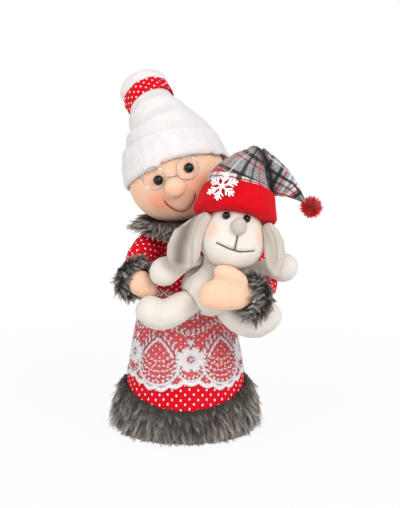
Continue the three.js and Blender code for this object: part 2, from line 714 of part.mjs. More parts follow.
const handRight = limb({
  path: [
    near(shoulders, -49, -49, -32), near(shoulders, -42, -58, -35), near(shoulders, -33, -62, -39),
    near(shoulders, -27, -63, -41),
  ],
  widths: [WRIST_RADIUS * 0.9, PALM_HEIGHT * 0.83, PALM_HEIGHT * 0.75, PALM_HEIGHT * 0.55],
  depth: 0.85,
});
const palmLeft = limb({
  path: [near(dog, 37, -26, 1), near(dog, 25, -35, 0.5), near(dog, 10, -38, 1), near(dog, 1, -38, 2)],
  widths: [WRIST_RADIUS * 0.9, PALM_HEIGHT * 0.95, PALM_HEIGHT, PALM_HEIGHT * 0.9],
  depth: PALM_DEPTH,
  caps: [0.5, 0.9],
});
const thumbLeft = limb({
  path: [near(dog, 25, -35, 12), near(dog, 15, -38, 21), near(dog, 5, -37, 22.5)],
  widths: [THUMB_RADIUS * 1.1, THUMB_RADIUS, THUMB_RADIUS * 0.95],
});
const handLeft = (grow = 0) => palmLeft(grow).add(thumbLeft(grow));
const cuffAt = (centre, axis) => ball({
  centre,
  size: vec(CUFF_RADIUS, CUFF_RADIUS, CUFF_LENGTH / 2),
  axis,
  detail: 14,
});
const cuffRight = cuffAt(near(shoulders, -50, -46, -33), vec(0.5, -0.8, -0.2));
const cuffLeft = cuffAt(near(dog, 39, -24, -2), vec(-0.7, -0.7, 0.05));

// Collar fur: a ring around the neck, under the chin.
const collarMiddle = CONE_HEIGHT - 5;
function collarFur() {
  const half = COLLAR_HEIGHT / 2;
  const profile = [[0, collarMiddle - half]];
  for (const turn of [-70, -35, 0, 35, 70]) {
    profile.push([
      COLLAR_RADIUS - half * (1 - Math.cos(radians(turn))),
      collarMiddle + half * Math.sin(radians(turn)),
    ]);
  }
  profile.push([0, collarMiddle + half]);
  return solidOf(turned(profile, 24).translate(HEAD_X / 2, HEAD_Y / 2, 0));
}
const dogHeadForm = dogHead.form;
piece(body, 'collar_fur', {
  solid: collarFur(),
  cutBy: [cone, head.form, sleeveRight, sleeveLeft, dogHeadForm],
  colour: COLOURS.fur,
});
piece(body, 'sleeve_right', { solid: sleeveRight(), cutBy: [cone], colour: COLOURS.dress });
piece(body, 'sleeve_left', { solid: sleeveLeft(), cutBy: [cone], colour: COLOURS.dress });
const armRightSpace = swept(armRight, armRightHinge);
const armRightSocket = swept(rootOf(armRightShape, 2), armRightHinge);
const armLeftSpace = swept(armLeft, armLeftHinge);
const armLeftSocket = swept(rootOf(armLeftShape, 2), armLeftHinge);
const legRightSpace = swept(legRight, legRightHinge);
const legRightSocket = swept(rootOf(legRightShape, 3), legRightHinge);
const legLeftSocket = swept(rootOf(legLeftShape, 3), legLeftHinge);
const earLeftSpace = swept(earLeft, earLeftHinge);
piece(body, 'hand_right', {
  solid: handRight(),
  cutBy: [sleeveRight, armRightSpace, legRightSpace, cone],
  colour: COLOURS.skin,
});
piece(body, 'cuff_fur_right', {
  solid: cuffRight.form(),
  cutBy: [sleeveRight, handRight, cone],
  colour: COLOURS.fur,
});
piece(body, 'hand_left', { solid: handLeft(), cutBy: [sleeveLeft, dogBody, dogHeadForm], colour: COLOURS.skin });
piece(body, 'cuff_fur_left', {
  solid: cuffLeft.form(),
  cutBy: [sleeveLeft, handLeft, dogBody, dogHeadForm, armLeftSpace, earLeftSpace],
  colour: COLOURS.fur,
});

// The dog's own pieces.
const dogGroup = groupAt(dog);
piece(dogGroup, 'dog_body', {
  solid: dogBody(),
  cutBy: [skirt, dogHeadForm, armRightSocket, armLeftSocket, legRightSocket, legLeftSocket, sleeveLeft],
  colour: COLOURS.plush,
});
const dogHeadGroup = groupAt(dogHead.centre, dogGroup);
piece(dogHeadGroup, 'dog_head', { solid: dogHead.form(), colour: COLOURS.plush });
const dogNose = ball({
  centre: dogHead.on(2, 13.2, DOG_NOSE_RADIUS * 0.35),
  size: vec(DOG_NOSE_RADIUS, DOG_NOSE_RADIUS * 0.95, DOG_NOSE_RADIUS),
  detail: 14,
});
piece(dogHeadGroup, 'dog_nose', { solid: dogNose.form(), cutBy: [dogHeadForm], colour: COLOURS.ear });
for (const [name, u, w] of [['dog_eye_right', -10, 19.4], ['dog_eye_left', 8, 19.8]]) {
  const eye = ball({
    centre: dogHead.on(u, w, DOG_EYE_RADIUS * 0.2),
    size: vec(DOG_EYE_RADIUS, DOG_EYE_RADIUS, DOG_EYE_RADIUS),
    detail: 10,
  });
  piece(dogHeadGroup, name, {
    solid: eye.form(),
    cutBy: [dogHeadForm, dogNose.form],
    colour: COLOURS.bead,
    roughness: GLOSSY,
  });
}
const dogSmile = [[-14.9, -4.6], [-4.7, -6.7], [2, -7.8], [8.8, -8.2], [20, -6.6]];
const underNose = [[2.6, 5], [2.3, 0], [2, -7.8]];
piece(dogHeadGroup, 'dog_mouth_thread', {
  solid: threadOn(dogHead, DOG_THREAD, dogSmile).add(threadOn(dogHead, DOG_THREAD, underNose)),
  cutBy: [dogNose.form],
  colour: COLOURS.bead,
});

// The dog's cap: a felt band, a plaid crown and the end of it that folds over to the side.
const bandTurn = new THREE.Matrix4().makeRotationFromQuaternion(
  new THREE.Quaternion().setFromUnitVectors(UP, bandAxis),
);
const bandRadiusAt = (along) => THREE.MathUtils.lerp(BAND_RADIUS, BAND_TOP_RADIUS, along / BAND_WIDTH);
// A point on the band, `angle` degrees round from its front towards +X and `along` its width.
const bandPoint = (angle, along, lift) => {
  const radius = bandRadiusAt(along);
  const x = (radius + lift) * Math.sin(radians(angle));
  const y = -(radius * BAND_FLATNESS + lift) * Math.cos(radians(angle));
  return vec(x, y, along).applyMatrix4(bandTurn).add(bandBase);
};
function bandSolid() {
  const edge = 2.5;
  const profile = [
    [0, 0],
    [BAND_RADIUS - 3.4 * edge, 0],
    [BAND_RADIUS - 1.2 * edge, 0.7 * edge],
    [bandRadiusAt(2 * edge), 2 * edge],
    [bandRadiusAt(BAND_WIDTH - edge), BAND_WIDTH - edge],
    [BAND_TOP_RADIUS - edge, BAND_WIDTH],
    [0, BAND_WIDTH],
  ];
  const geometry = turned(profile, 28).scale(1, BAND_FLATNESS, 1).applyMatrix4(bandTurn);
  return solidOf(geometry.translate(bandBase.x, bandBase.y, bandBase.z));
}
const dogCrown = limb({
  path: [dogHeadAt(4.5, 13, 35), dogHeadAt(7.7, 18, 49), dogHeadAt(14, 20, 62.5), dogHeadAt(20, 21, 71.5)],
  widths: [BAND_TOP_RADIUS - 1.5, 27, 16.5, 8],
  depth: BAND_FLATNESS,
  caps: [0.3, 0.7],
  sides: 16,
});
const tailSide = vec(-0.24, 0, 0.97).normalize();
const tailRoot = dogHeadAt(33.5, 18, 55);
const tailHinge = {
  at: tailRoot.clone().addScaledVector(tailSide, TAIL_HEIGHT * 0.47),
  axis: anticlockwise,
  swing: TAIL_SWING,
};
const tail = limb({
  path: [
    tailRoot, near(tailRoot, 10, 0, -5), near(tailRoot, 20, 0, -11.5), near(tailRoot, 27, -1, -19),
    near(tailRoot, 31.5, -2, -25.5),
  ],
  widths: [0.5, 0.41, 0.32, 0.21, 0.12].map((share) => share * TAIL_HEIGHT),
  depths: [0.5, 0.46, 0.42, 0.36, 0.28].map((share) => share * TAIL_THICKNESS),
  across: tailSide,
  caps: [0.6, 0.5],
});
const tailSpace = swept(tail, tailHinge);
const pompom = ball({
  centre: near(tailRoot, 38, -2, -32),
  size: vec(POMPOM_RADIUS, POMPOM_RADIUS, POMPOM_RADIUS),
  detail: 12,
});
piece(dogHeadGroup, 'dog_cap_crown', {
  solid: dogCrown(),
  cutBy: [dogHeadForm, head.form],
  colour: COLOURS.plaid,
});
piece(dogHeadGroup, 'dog_cap_band', {
  solid: bandSolid(),
  cutBy: [dogCrown, dogHeadForm, head.form, tailSpace],
  colour: COLOURS.felt,
});

// A six-armed snowflake with two pairs of barbs on each arm, bent round the band.
function snowflake() {
  const half = FLAKE_ARM / 2;
  const slant = radians(60);
  const outline = [];
  const barb = (root, reach) => {
    const [dx, dy] = [Math.cos(slant), Math.sin(slant)];
    const edge = (sign) => (half - sign * half * dx) / dy;
    const point = (t, sign) => [root + dx * t - sign * half * dy, dy * t + sign * half * dx];
    return [point(edge(1), 1), point(reach, 1), point(reach, -1), point(edge(-1), -1)];
  };
  for (let arm = 0; arm < 6; arm++) {
    const side = [
      ...barb(FLAKE_RADIUS * 0.42, FLAKE_RADIUS * 0.26),
      ...barb(FLAKE_RADIUS * 0.72, FLAKE_RADIUS * 0.22),
      [FLAKE_RADIUS, half],
    ];
    const points = [...side.map(([r, s]) => [r, -s]), ...side.toReversed(), [half / Math.tan(radians(30)), half]];
    for (const [r, s] of points) {
      const turn = radians(arm * 60 + 30);
      outline.push(new THREE.Vector2(r, s).rotateAround(new THREE.Vector2(), turn));
    }
  }
  const options = { depth: FLAKE_THICKNESS, bevelEnabled: false };
  const geometry = new THREE.ExtrudeGeometry(new THREE.Shape(outline), options);
  const points = geometry.attributes.position;
  const middle = { angle: -27, along: BAND_WIDTH * 0.56 };
  for (let i = 0; i < points.count; i++) {
    const degrees = THREE.MathUtils.radToDeg(points.getX(i) / bandRadiusAt(middle.along));
    const lift = CLEARANCE * 1.5 + points.getZ(i);
    const at = bandPoint(middle.angle + degrees, middle.along + points.getY(i), lift);
    points.setXYZ(i, at.x, at.y, at.z);
  }
  return solidOf(geometry);
}
piece(dogHeadGroup, 'snowflake', { solid: snowflake(), colour: COLOURS.snow, roughness: 0.6 });

const hinged = [
  ['dog_ear_right', earRight, earRightHinge, [passedBy(dogHeadForm, earRightHinge), armRight], COLOURS.ear],
  ['dog_ear_left', earLeft, earLeftHinge, [passedBy(dogHeadForm, earLeftHinge), armLeftSpace], COLOURS.ear],
  ['dog_arm_right', armRight, armRightHinge, [sleeveRight], COLOURS.plush],
  ['dog_arm_left', armLeft, armLeftHinge, [passedBy(sleeveLeft, armLeftHinge)], COLOURS.plush],
  ['dog_leg_right', legRight, legRightHinge, [skirt], COLOURS.plush],
  ['dog_leg_left', legLeft, legLeftHinge, [skirt, sleeveLeft, cuffLeft.form], COLOURS.plush],
  ['dog_cap_tail', tail, tailHinge, [dogCrown], COLOURS.plaid],
];
for (const [name, form, hinge, cutBy, colour] of hinged) {
  const group = groupAt(hinge.at, dogGroup);
  piece(group, name, { solid: form(), cutBy, colour });
  if (name === 'dog_cap_tail') {
    piece(group, 'pompom', { solid: pompom.form(), cutBy: [tail], colour: COLOURS.felt });
  }
}

export default model;
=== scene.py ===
# %% [markdown]
# # A grandmother cone figure that hugs a plush dog
# The real object is a soft holiday figure: a red pin-dot dress on a stiff cone, trimmed with lace and
# long fur, a stuffed head in a fleece cap, and a plush dog sewn to its front.
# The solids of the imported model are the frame. Each soft piece below is made in the place that its
# solid holds, and then rides on the same body.

# %% Load the frame
import math

import bmesh
import bpy
import numpy as np
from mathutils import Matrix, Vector, noise


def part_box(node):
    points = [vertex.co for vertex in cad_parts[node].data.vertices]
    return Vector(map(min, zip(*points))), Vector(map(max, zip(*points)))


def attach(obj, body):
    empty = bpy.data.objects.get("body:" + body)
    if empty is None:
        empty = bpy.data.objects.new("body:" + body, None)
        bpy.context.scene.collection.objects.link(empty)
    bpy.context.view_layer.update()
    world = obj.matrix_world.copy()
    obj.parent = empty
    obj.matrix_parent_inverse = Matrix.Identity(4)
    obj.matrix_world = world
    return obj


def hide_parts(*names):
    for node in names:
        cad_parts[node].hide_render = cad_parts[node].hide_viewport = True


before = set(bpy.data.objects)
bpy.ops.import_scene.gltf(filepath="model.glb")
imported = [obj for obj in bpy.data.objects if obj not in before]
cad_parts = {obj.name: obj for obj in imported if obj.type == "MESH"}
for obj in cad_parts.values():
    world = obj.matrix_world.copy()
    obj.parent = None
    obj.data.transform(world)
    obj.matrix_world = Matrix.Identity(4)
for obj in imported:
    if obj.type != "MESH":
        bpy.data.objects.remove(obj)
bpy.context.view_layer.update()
MM = 0.001

# %% [markdown]
# ## The camera
# The photograph was taken from a little above, from far enough away that the cone hardly narrows
# towards the top. A long lens 1.4 m away gives that view, so the camera is made first and everything
# is judged through it.

# %% Make the camera
camera = bpy.data.objects.new("camera", bpy.data.cameras.new("camera"))
bpy.context.scene.collection.objects.link(camera)
camera.data.sensor_width = 36
camera.data.lens = 103.35
camera.location = (0.014, -1.36941, 0.46038)
camera.rotation_euler = (math.radians(78), 0, 0)
bpy.context.scene.camera = camera
print("camera", tuple(round(place, 3) for place in camera.location))

# %% [markdown]
# ## Node recipes
# Materials and fur are both made of nodes. Wiring them one by one hides the idea, so one small class
# wraps a node's output: a sum or a product in Python then adds the Math node that does it.

# %% Values that add their own maths nodes
class Value:
    """An output of a node, which can be used in a Python expression."""

    def __init__(self, recipe, socket):
        self.recipe = recipe
        self.socket = socket


def operator(operation, swapped):
    """A method of Value that adds the node for one operation."""
    def method(self, other):
        return self.recipe.maths(operation, *((other, self) if swapped else (self, other)))
    return method


SIGNS = {"add": "ADD", "sub": "SUBTRACT", "mul": "MULTIPLY", "truediv": "DIVIDE", "pow": "POWER"}
for sign, operation in SIGNS.items():
    setattr(Value, f"__{sign}__", operator(operation, False))
    setattr(Value, f"__r{sign}__", operator(operation, True))
print("values have", len(SIGNS), "kinds of sign")

# %% [markdown]
# Every other node is made by one method: it takes the kind of node, its settings and its inputs. A
# material and a tree of Geometry Nodes can then be written in the same way.

# %% One method for every other node
def is_vector(term):
    return isinstance(term, (tuple, Vector)) or (isinstance(term, Value) and term.socket.type == "VECTOR")


def socket_of(sockets, key):
    """A socket by its number, or the first one in use that has this name."""
    if isinstance(key, int):
        return sockets[key]
    return next(socket for socket in sockets if socket.name == key and socket.enabled)


class Recipe:
    """A node tree that is written as expressions."""

    def __init__(self, tree):
        self.tree = tree

    def node(self, kind, settings=None, inputs=None, output=0):
        made = self.tree.nodes.new(kind)
        for name, value in (settings or {}).items():
            if name == "stops":
                elements = made.color_ramp.elements
                while len(elements) < len(value):
                    elements.new(0.5)
                for element, (place, colour) in zip(elements, value):
                    element.position, element.color = place, colour
            else:
                setattr(made, name, value)
        for name, value in (inputs or {}).items():
            self.feed(socket_of(made.inputs, name), value)
        if isinstance(output, tuple):
            return tuple(Value(self, socket_of(made.outputs, key)) for key in output)
        return Value(self, socket_of(made.outputs, output))

    def feed(self, socket, value):
        if isinstance(value, Value):
            self.tree.links.new(value.socket, socket)
        else:
            socket.default_value = value

    def maths(self, operation, *terms):
        if not any(is_vector(term) for term in terms):
            return self.node("ShaderNodeMath", {"operation": operation}, dict(enumerate(terms)))
        if operation == "MULTIPLY" and not all(is_vector(term) for term in terms):
            arrow, scale = terms if is_vector(terms[0]) else reversed(terms)
            return self.node("ShaderNodeVectorMath", {"operation": "SCALE"}, {0: arrow, "Scale": scale})
        return self.node("ShaderNodeVectorMath", {"operation": operation}, dict(enumerate(terms)))

    def vector(self, x, y, z):
        return self.node("ShaderNodeCombineXYZ", inputs={0: x, 1: y, 2: z})

    def xyz(self, vector):
        return self.node("ShaderNodeSeparateXYZ", inputs={0: vector}, output=("X", "Y", "Z"))


# %% [markdown]
# ## A material for each finish
# Every finish starts from the same shader. A `Finish` opens a new material and offers what cloth needs
# most: a place on the piece, noise at a real size in millimetres, soft steps and mixed colours.

# %% The base of every finish
def colour_of(hexadecimal):
    """A colour as a screen shows it, turned into the linear numbers that the shader uses."""
    parts = [((hexadecimal >> shift) & 255) / 255 for shift in (16, 8, 0)]
    linear = [c / 12.92 if c <= 0.04045 else ((c + 0.055) / 1.055) ** 2.4 for c in parts]
    return (*linear, 1.0)


class Finish(Recipe):
    def __init__(self, name, gloss=0.12, **constants):
        self.material = bpy.data.materials.new(name)
        self.material.use_nodes = True
        super().__init__(self.material.node_tree)
        self.shader = self.tree.nodes["Principled BSDF"]
        self.shader.inputs["Specular IOR Level"].default_value = gloss
        self.set(**constants)

    def place(self):
        """The point of the surface, in metres."""
        return self.node("ShaderNodeTexCoord", output="Object")

    def cloth(self):
        """The place on the cloth, in millimetres across and up."""
        return self.xyz(self.node("ShaderNodeTexCoord", output="UV"))[:2]

    def attribute(self, name):
        return self.node("ShaderNodeAttribute", {"attribute_name": name}, output="Fac")

    def noise(self, millimetres, detail, roughness=0.5, stretch=None):
        at = self.place() * stretch if stretch else self.place()
        inputs = {"Vector": at, "Scale": 1 / (millimetres * MM), "Detail": detail, "Roughness": roughness}
        return self.node("ShaderNodeTexNoise", inputs=inputs)

    def step(self, value, low, high):
        """0 below low, 1 above high, and smooth between them."""
        settings = {"interpolation_type": "SMOOTHSTEP"}
        inputs = {"Value": value, "From Min": low, "From Max": high}
        return self.node("ShaderNodeMapRange", settings, inputs)

    def mix(self, amount, first, second):
        """A mix of two colours, each a hexadecimal number or an output of a node."""
        first, second = (colour_of(c) if isinstance(c, int) else c for c in (first, second))
        return self.node("ShaderNodeMix", {"data_type": "RGBA"}, {0: amount, 6: first, 7: second}, 2)

    def away_from(self, point):
        """Millimetres from a point of the object."""
        inputs = {0: self.place(), 1: tuple(c * MM for c in point)}
        return self.node("ShaderNodeVectorMath", {"operation": "DISTANCE"}, inputs, "Value") / MM

    def blush(self, colour, spots, inner):
        """Colours round points: each spot has a point, a radius, a strength and a colour."""
        for point, radius, strength, tone in spots:
            near = (1.0 - self.step(self.away_from(point), radius * inner, radius)) * strength
            colour = self.mix(near, colour, tone)
        return colour

    def set(self, **inputs):
        for key, value in inputs.items():
            self.feed(self.shader.inputs[key.replace("_", " ").title()], value)
        return self.material

    def surface(self, colour, height, millimetres, strength, **others):
        """Sets the colour and a bump, and gives the finished material."""
        inputs = {"Height": height, "Distance": millimetres * MM, "Strength": strength}
        bump = self.node("ShaderNodeBump", inputs=inputs)
        return self.set(base_color=colour, normal=bump, **others)


# %% [markdown]
# ## Meshes from points
# The helpers here turn rows of points into a mesh, settle what the modifiers made into a plain mesh,
# and read and move the points of a piece.

# %% Make and settle meshes
def add_object(name, mesh):
    made = bpy.data.objects.new(name, mesh)
    bpy.context.scene.collection.objects.link(made)
    return made


def mesh_object(name, points, faces):
    """An object from points in millimetres."""
    mesh = bpy.data.meshes.new(name)
    mesh.from_pydata([tuple(c * MM for c in point) for point in points], [], faces)
    mesh.update()
    mesh.shade_smooth()
    return add_object(name, mesh)


def settle(piece):
    """The result of the modifiers becomes the piece's plain mesh."""
    evaluated = piece.evaluated_get(bpy.context.evaluated_depsgraph_get())
    mesh = bpy.data.meshes.new_from_object(evaluated)
    piece.modifiers.clear()
    piece.data = mesh
    mesh.shade_smooth()
    return piece


def points_of(piece):
    flat = np.empty(len(piece.data.vertices) * 3)
    piece.data.vertices.foreach_get("co", flat)
    return flat.reshape(-1, 3) / MM


def move_points(piece, points):
    piece.data.vertices.foreach_set("co", (points * MM).ravel())
    piece.data.update()


def normals_of(piece):
    flat = np.empty(len(piece.data.vertices) * 3)
    piece.data.vertex_normals.foreach_get("vector", flat)
    return flat.reshape(-1, 3)


def mark(piece, name, values):
    """Keeps a number for each point, which the piece's finish can read."""
    piece.data.attributes.new(name, "FLOAT", "POINT").data.foreach_set("value", values)


# %% [markdown]
# Shapes are worked on as rows of points. Most changes act on one part of a piece and fade towards the
# rest, so a straight ramp and a round bell are used throughout.

# %% Numbers that fade, and directions
def ramp(values, start, end):
    """0 at start, 1 at end, and straight between them."""
    return np.clip((values - start) / (end - start), 0, 1)


def bell(distance, width):
    """1 at no distance, fading to almost nothing at twice the width."""
    return np.exp(-((distance / width) ** 2))


def unit(vectors):
    return vectors / np.maximum(np.linalg.norm(vectors, axis=1), 1e-9)[:, None]


def direction(*parts):
    return np.array(parts, float) / np.linalg.norm(parts)


def square_to(axis):
    """Two directions square to an axis: level to the right, and up."""
    right = direction(*np.cross((0, 0, 1.0), axis))
    return right, np.cross(axis, right)


# %% [markdown]
# A solid of the frame is faceted. Filling a copy with small voxels and smoothing that skin gives the
# rounded, slightly uneven surface of stuffed cloth, in exactly the same place.

# %% Soft skins
def relax(piece, rounds):
    """Smooths the small facets and keeps the size: each step inwards is followed by one outwards."""
    edges = np.empty(len(piece.data.edges) * 2, int)
    piece.data.edges.foreach_get("vertices", edges)
    one, other = edges.reshape(-1, 2).T
    points = points_of(piece)
    count = len(points)
    degree = np.bincount(edges, minlength=count)[:, None]
    for amount in (0.5, -0.52) * rounds:
        sums = [np.bincount(one, points[other, k], count) + np.bincount(other, points[one, k], count)
                for k in range(3)]
        points = points + amount * (np.stack(sums, 1) / degree - points)
    move_points(piece, points)


def stuffed(name, node, voxel, rounds, finer=1):
    """A soft skin in the place of a solid of the frame."""
    piece = add_object(name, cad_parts[node].data.copy())
    piece.data.materials.clear()
    welded = bmesh.new()
    welded.from_mesh(piece.data)
    bmesh.ops.remove_doubles(welded, verts=welded.verts, dist=1e-6)
    welded.to_mesh(piece.data)
    welded.free()
    fill = piece.modifiers.new("fill", "REMESH")
    fill.mode, fill.voxel_size = "VOXEL", voxel * MM
    settle(piece)
    relax(piece, rounds)
    if finer:
        divide = piece.modifiers.new("divide", "SUBSURF")
        divide.levels = divide.render_levels = finer
        settle(piece)
    print(name, "has", len(piece.data.vertices), "points")
    return piece


def ruffle(piece, height):
    """Moves each point along its normal by height(points), in millimetres."""
    points = points_of(piece)
    move_points(piece, points + normals_of(piece) * height(points)[:, None])


def lumps(points, size, seed):
    """Smooth unevenness from -1 to 1 whose lumps are about `size` millimetres."""
    shift = Vector((seed * 7.3, seed * 3.1, seed * 5.7))
    return np.array([noise.noise(Vector(point) / size + shift) for point in points])


def dress_up(piece, finish, nodes=(), body="figure"):
    """Gives a piece its finish and its body, and hides the solids that it stands for."""
    piece.data.materials.clear()
    piece.data.materials.append(finish)
    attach(piece, body)
    if nodes:
        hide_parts(*nodes)


# %% [markdown]
# ## The cone
# The card cone, the wadding and the dress follow one curve: nearly straight from the hem to the neck,
# and a little full in the middle. The lace and the fur are laid on the same curve, so it is a function.

# %% The curve of the cone
CONE_HEIGHT, HEM_RADIUS, NECK_RADIUS, CONE_BULGE = 202.0, 63.0, 22.0, 5.0


def cone_radius(z):
    t = np.clip(z / CONE_HEIGHT, 0, 1)
    return HEM_RADIUS + (NECK_RADIUS - HEM_RADIUS) * t + CONE_BULGE * np.sin(np.pi * t)


def on_cone(turn, z, lift=0.0):
    """A point on the cone: turn in degrees from the front towards +X, z and lift in millimetres."""
    radius, angle = cone_radius(z) + lift, np.radians(turn)
    return np.stack([radius * np.sin(angle), -radius * np.cos(angle), z + 0 * turn], -1)


def turn_of(points):
    """The way round the cone, in radians from the front towards +X."""
    return np.arctan2(points[:, 0], -points[:, 1])


def closed_sheet(name, rings):
    """A closed sheet from rings of points, where the last ring joins the first."""
    count, sides = len(rings), len(rings[0])
    faces = [(r * sides + i, r * sides + (i + 1) % sides, (r + 1) % count * sides + (i + 1) % sides,
              (r + 1) % count * sides + i) for r in range(count) for i in range(sides)]
    return mesh_object(name, np.concatenate(rings), faces)


print("cone radius at the hem and the neck:", cone_radius(0), cone_radius(CONE_HEIGHT))

# %% [markdown]
# ## Cloth coordinates
# Pin dots and plaid are printed or woven before the cloth is cut, so they have to follow the cloth.
# A sleeve or a cap is cloth wrapped round a line. The place along that line and the way round it, both
# in millimetres, are kept as the piece's UV map, with the seam where the cloth has it.

# %% Wrap cloth coordinates round a path
PAST_ENDS = 5.0


def along_path(points, path):
    """For each point: how far along the path its nearest place is, that place, and the path's direction."""
    path = np.array(path, float)
    legs = path[1:] - path[:-1]
    lengths = np.linalg.norm(legs, axis=1)
    starts = np.concatenate([[0], np.cumsum(lengths)[:-1]])
    best = np.full(len(points), np.inf)
    travelled, nearest, heading = np.zeros(len(points)), np.zeros_like(points), np.zeros_like(points)
    for number, (start, leg, length, before) in enumerate(zip(path, legs, lengths, starts)):
        low = -PAST_ENDS if number == 0 else 0.0
        high = PAST_ENDS if number == len(legs) - 1 else 1.0
        share = np.clip(((points - start) @ leg) / length**2, low, high)
        place = start + share[:, None] * leg
        away = np.linalg.norm(points - place, axis=1)
        closer = away < best
        best[closer] = away[closer]
        travelled[closer] = before + share[closer] * length
        nearest[closer], heading[closer] = place[closer], leg / length
    return travelled, nearest, heading


def from_line(points, line):
    """Millimetres from a line in the x-z plane, seen from the front."""
    flat = points * (1, 0, 1)
    return np.linalg.norm(flat - along_path(flat, [(x, 0, z) for x, z in line])[1], axis=1)


def wrap(piece, path, seam, radius):
    """A UV map in millimetres: round the path from the side away from `seam`, and along it."""
    points = points_of(piece)
    travelled, nearest, heading = along_path(points, path)
    towards = np.array(seam, float) - heading * (heading @ np.array(seam, float))[:, None]
    towards /= np.linalg.norm(towards, axis=1)[:, None]
    side = np.cross(heading, towards)
    out = points - nearest
    turn = np.arctan2((out * side).sum(1), -(out * towards).sum(1))
    set_uv(piece, turn, lambda angle, corner: (angle * radius, travelled[corner]))


def set_uv(piece, turn, place):
    """Writes the UV map; a face that crosses the seam keeps its corners on one side of it."""
    mesh = piece.data
    layer = mesh.uv_layers.new(name="cloth")
    corners = np.empty(len(mesh.loops), int)
    mesh.loops.foreach_get("vertex_index", corners)
    starts, totals = np.empty(len(mesh.polygons), int), np.empty(len(mesh.polygons), int)
    mesh.polygons.foreach_get("loop_start", starts)
    mesh.polygons.foreach_get("loop_total", totals)
    first = np.repeat(corners[starts], totals)
    order = np.argsort(np.concatenate([np.arange(s, s + t) for s, t in zip(starts, totals)]))
    first = first[order]
    angle = turn[corners]
    angle = angle + 2 * np.pi * np.round((turn[first] - angle) / (2 * np.pi))
    u, v = place(angle, corners)
    layer.data.foreach_set("uv", np.stack([u, v], -1).ravel())


# %% [markdown]
# Threads, wires and cords are tubes along a smooth line. Several small shapes are joined into one mesh
# before they become a piece.

# %% Lines, tubes and joined shapes
def rounded(points, count):
    """A smooth line through the points."""
    points = np.array(points, float)
    ends = np.concatenate([[2 * points[0] - points[1]], points, [2 * points[-1] - points[-2]]])
    line = []
    for at in np.linspace(0, len(points) - 1, count):
        i = min(int(at), len(points) - 2)
        t = at - i
        p0, p1, p2, p3 = ends[i:i + 4]
        bend = 2 * p0 - 5 * p1 + 4 * p2 - p3 + t * (3 * (p1 - p2) + p3 - p0)
        line.append(p1 + 0.5 * t * (p2 - p0 + t * bend))
    return np.array(line)


def travel(line):
    """The length of a line up to each of its points."""
    return np.concatenate([[0], np.cumsum(np.linalg.norm(np.diff(line, axis=0), axis=1))])


def sides_of(line):
    """Two directions square to a line, at each of its points."""
    tangents = unit(np.gradient(line, axis=0))
    side = unit(np.cross(tangents, (0.013, -0.99, 0.11)))
    return side, np.cross(side, tangents)


def tube(line, radius, sides):
    """Points and faces of a closed tube along a line."""
    line = np.array(line)
    angles = np.arange(sides) * 2 * np.pi / sides
    rings = [centre + radius * (np.outer(np.cos(angles), side) + np.outer(np.sin(angles), up))
             for centre, side, up in zip(line, *sides_of(line))]
    points = np.concatenate(rings + [line[:1], line[-1:]])
    first, last, base = len(points) - 2, len(points) - 1, (len(line) - 1) * sides
    faces = []
    for i in range(sides):
        j = (i + 1) % sides
        faces += [(start + i, start + sides + i, start + sides + j, start + j)
                  for start in range(0, base, sides)]
        faces += [(first, i, j), (last, base + j, base + i)]
    return points, faces


def joined(parts):
    """Several meshes as one list of points and one of faces."""
    points, faces, start = [], [], 0
    for some_points, some_faces in parts:
        points.append(some_points)
        faces += [tuple(start + i for i in face) for face in some_faces]
        start += len(some_points)
    return np.concatenate(points), faces


def facing_out(piece):
    made = bmesh.new()
    made.from_mesh(piece.data)
    bmesh.ops.recalc_face_normals(made, faces=made.faces)
    made.to_mesh(piece.data)
    made.free()
    return piece


# %% [markdown]
# ## Pin-dot cotton
# The dress, the sleeves and the ribbon are one cloth: red cotton with white dots 1.6 mm across, in rows
# 6.8 mm apart. The dots of a row are 8.3 mm apart, and a second set lies in the middle between them.
# An image could hold the dots, but two lattices in the shader stay sharp at any distance. Red cotton
# of this kind has a fine plain weave, which shows as a very small bump.

# %% Pin-dot cotton
DOT_ACROSS, DOT_UP, DOT_RADIUS, DOT_BLUR = 8.3, 6.8, 0.8, 0.18
COTTON_THREADS = 0.7


def dots(finish):
    """1 on a pin dot and 0 between them."""
    found = []
    for shift in (0.0, 0.5):
        across, up = ((finish.maths("FRACT", place / apart + shift) - 0.5) * apart
                      for place, apart in zip(finish.cloth(), (DOT_ACROSS, DOT_UP)))
        found.append(finish.maths("SQRT", across * across + up * up))
    return 1.0 - finish.step(finish.maths("MINIMUM", *found), DOT_RADIUS - DOT_BLUR, DOT_RADIUS + DOT_BLUR)


def weave(finish, pitch):
    """The height of a plain weave with threads `pitch` millimetres apart."""
    warp, weft = (finish.maths("SINE", place * (2 * math.pi / pitch)) for place in finish.cloth())
    return warp * weft


def pin_dot_cotton():
    finish = Finish("pin-dot cotton", roughness=0.7)
    red = finish.mix(finish.noise(22, 3), 0xC40016, 0xE00824)
    dot = dots(finish)
    height = weave(finish, COTTON_THREADS) * 0.5 + finish.noise(0.5, 1) + dot * 0.8
    return finish.surface(finish.mix(dot, red, 0xFBF4F4), height, 0.12, 0.6)


cotton = pin_dot_cotton()
print("made", cotton.name)

# %% [markdown]
# ## The dress
# The dress is a cone of cotton drawn over the wadding. Turning one profile round the axis gives it, and
# a few shallow hollows make it cloth and not metal. Its cloth coordinates are those of the flat cut, a
# fan about the cone's point, so the dots run straight down the front and slant towards the back seam.

# %% Turn the dress
DRESS_SIDES, DRESS_ROWS, DRESS_BOTTOM, COTTON_THICKNESS = 180, 45, 0.4, 1.2


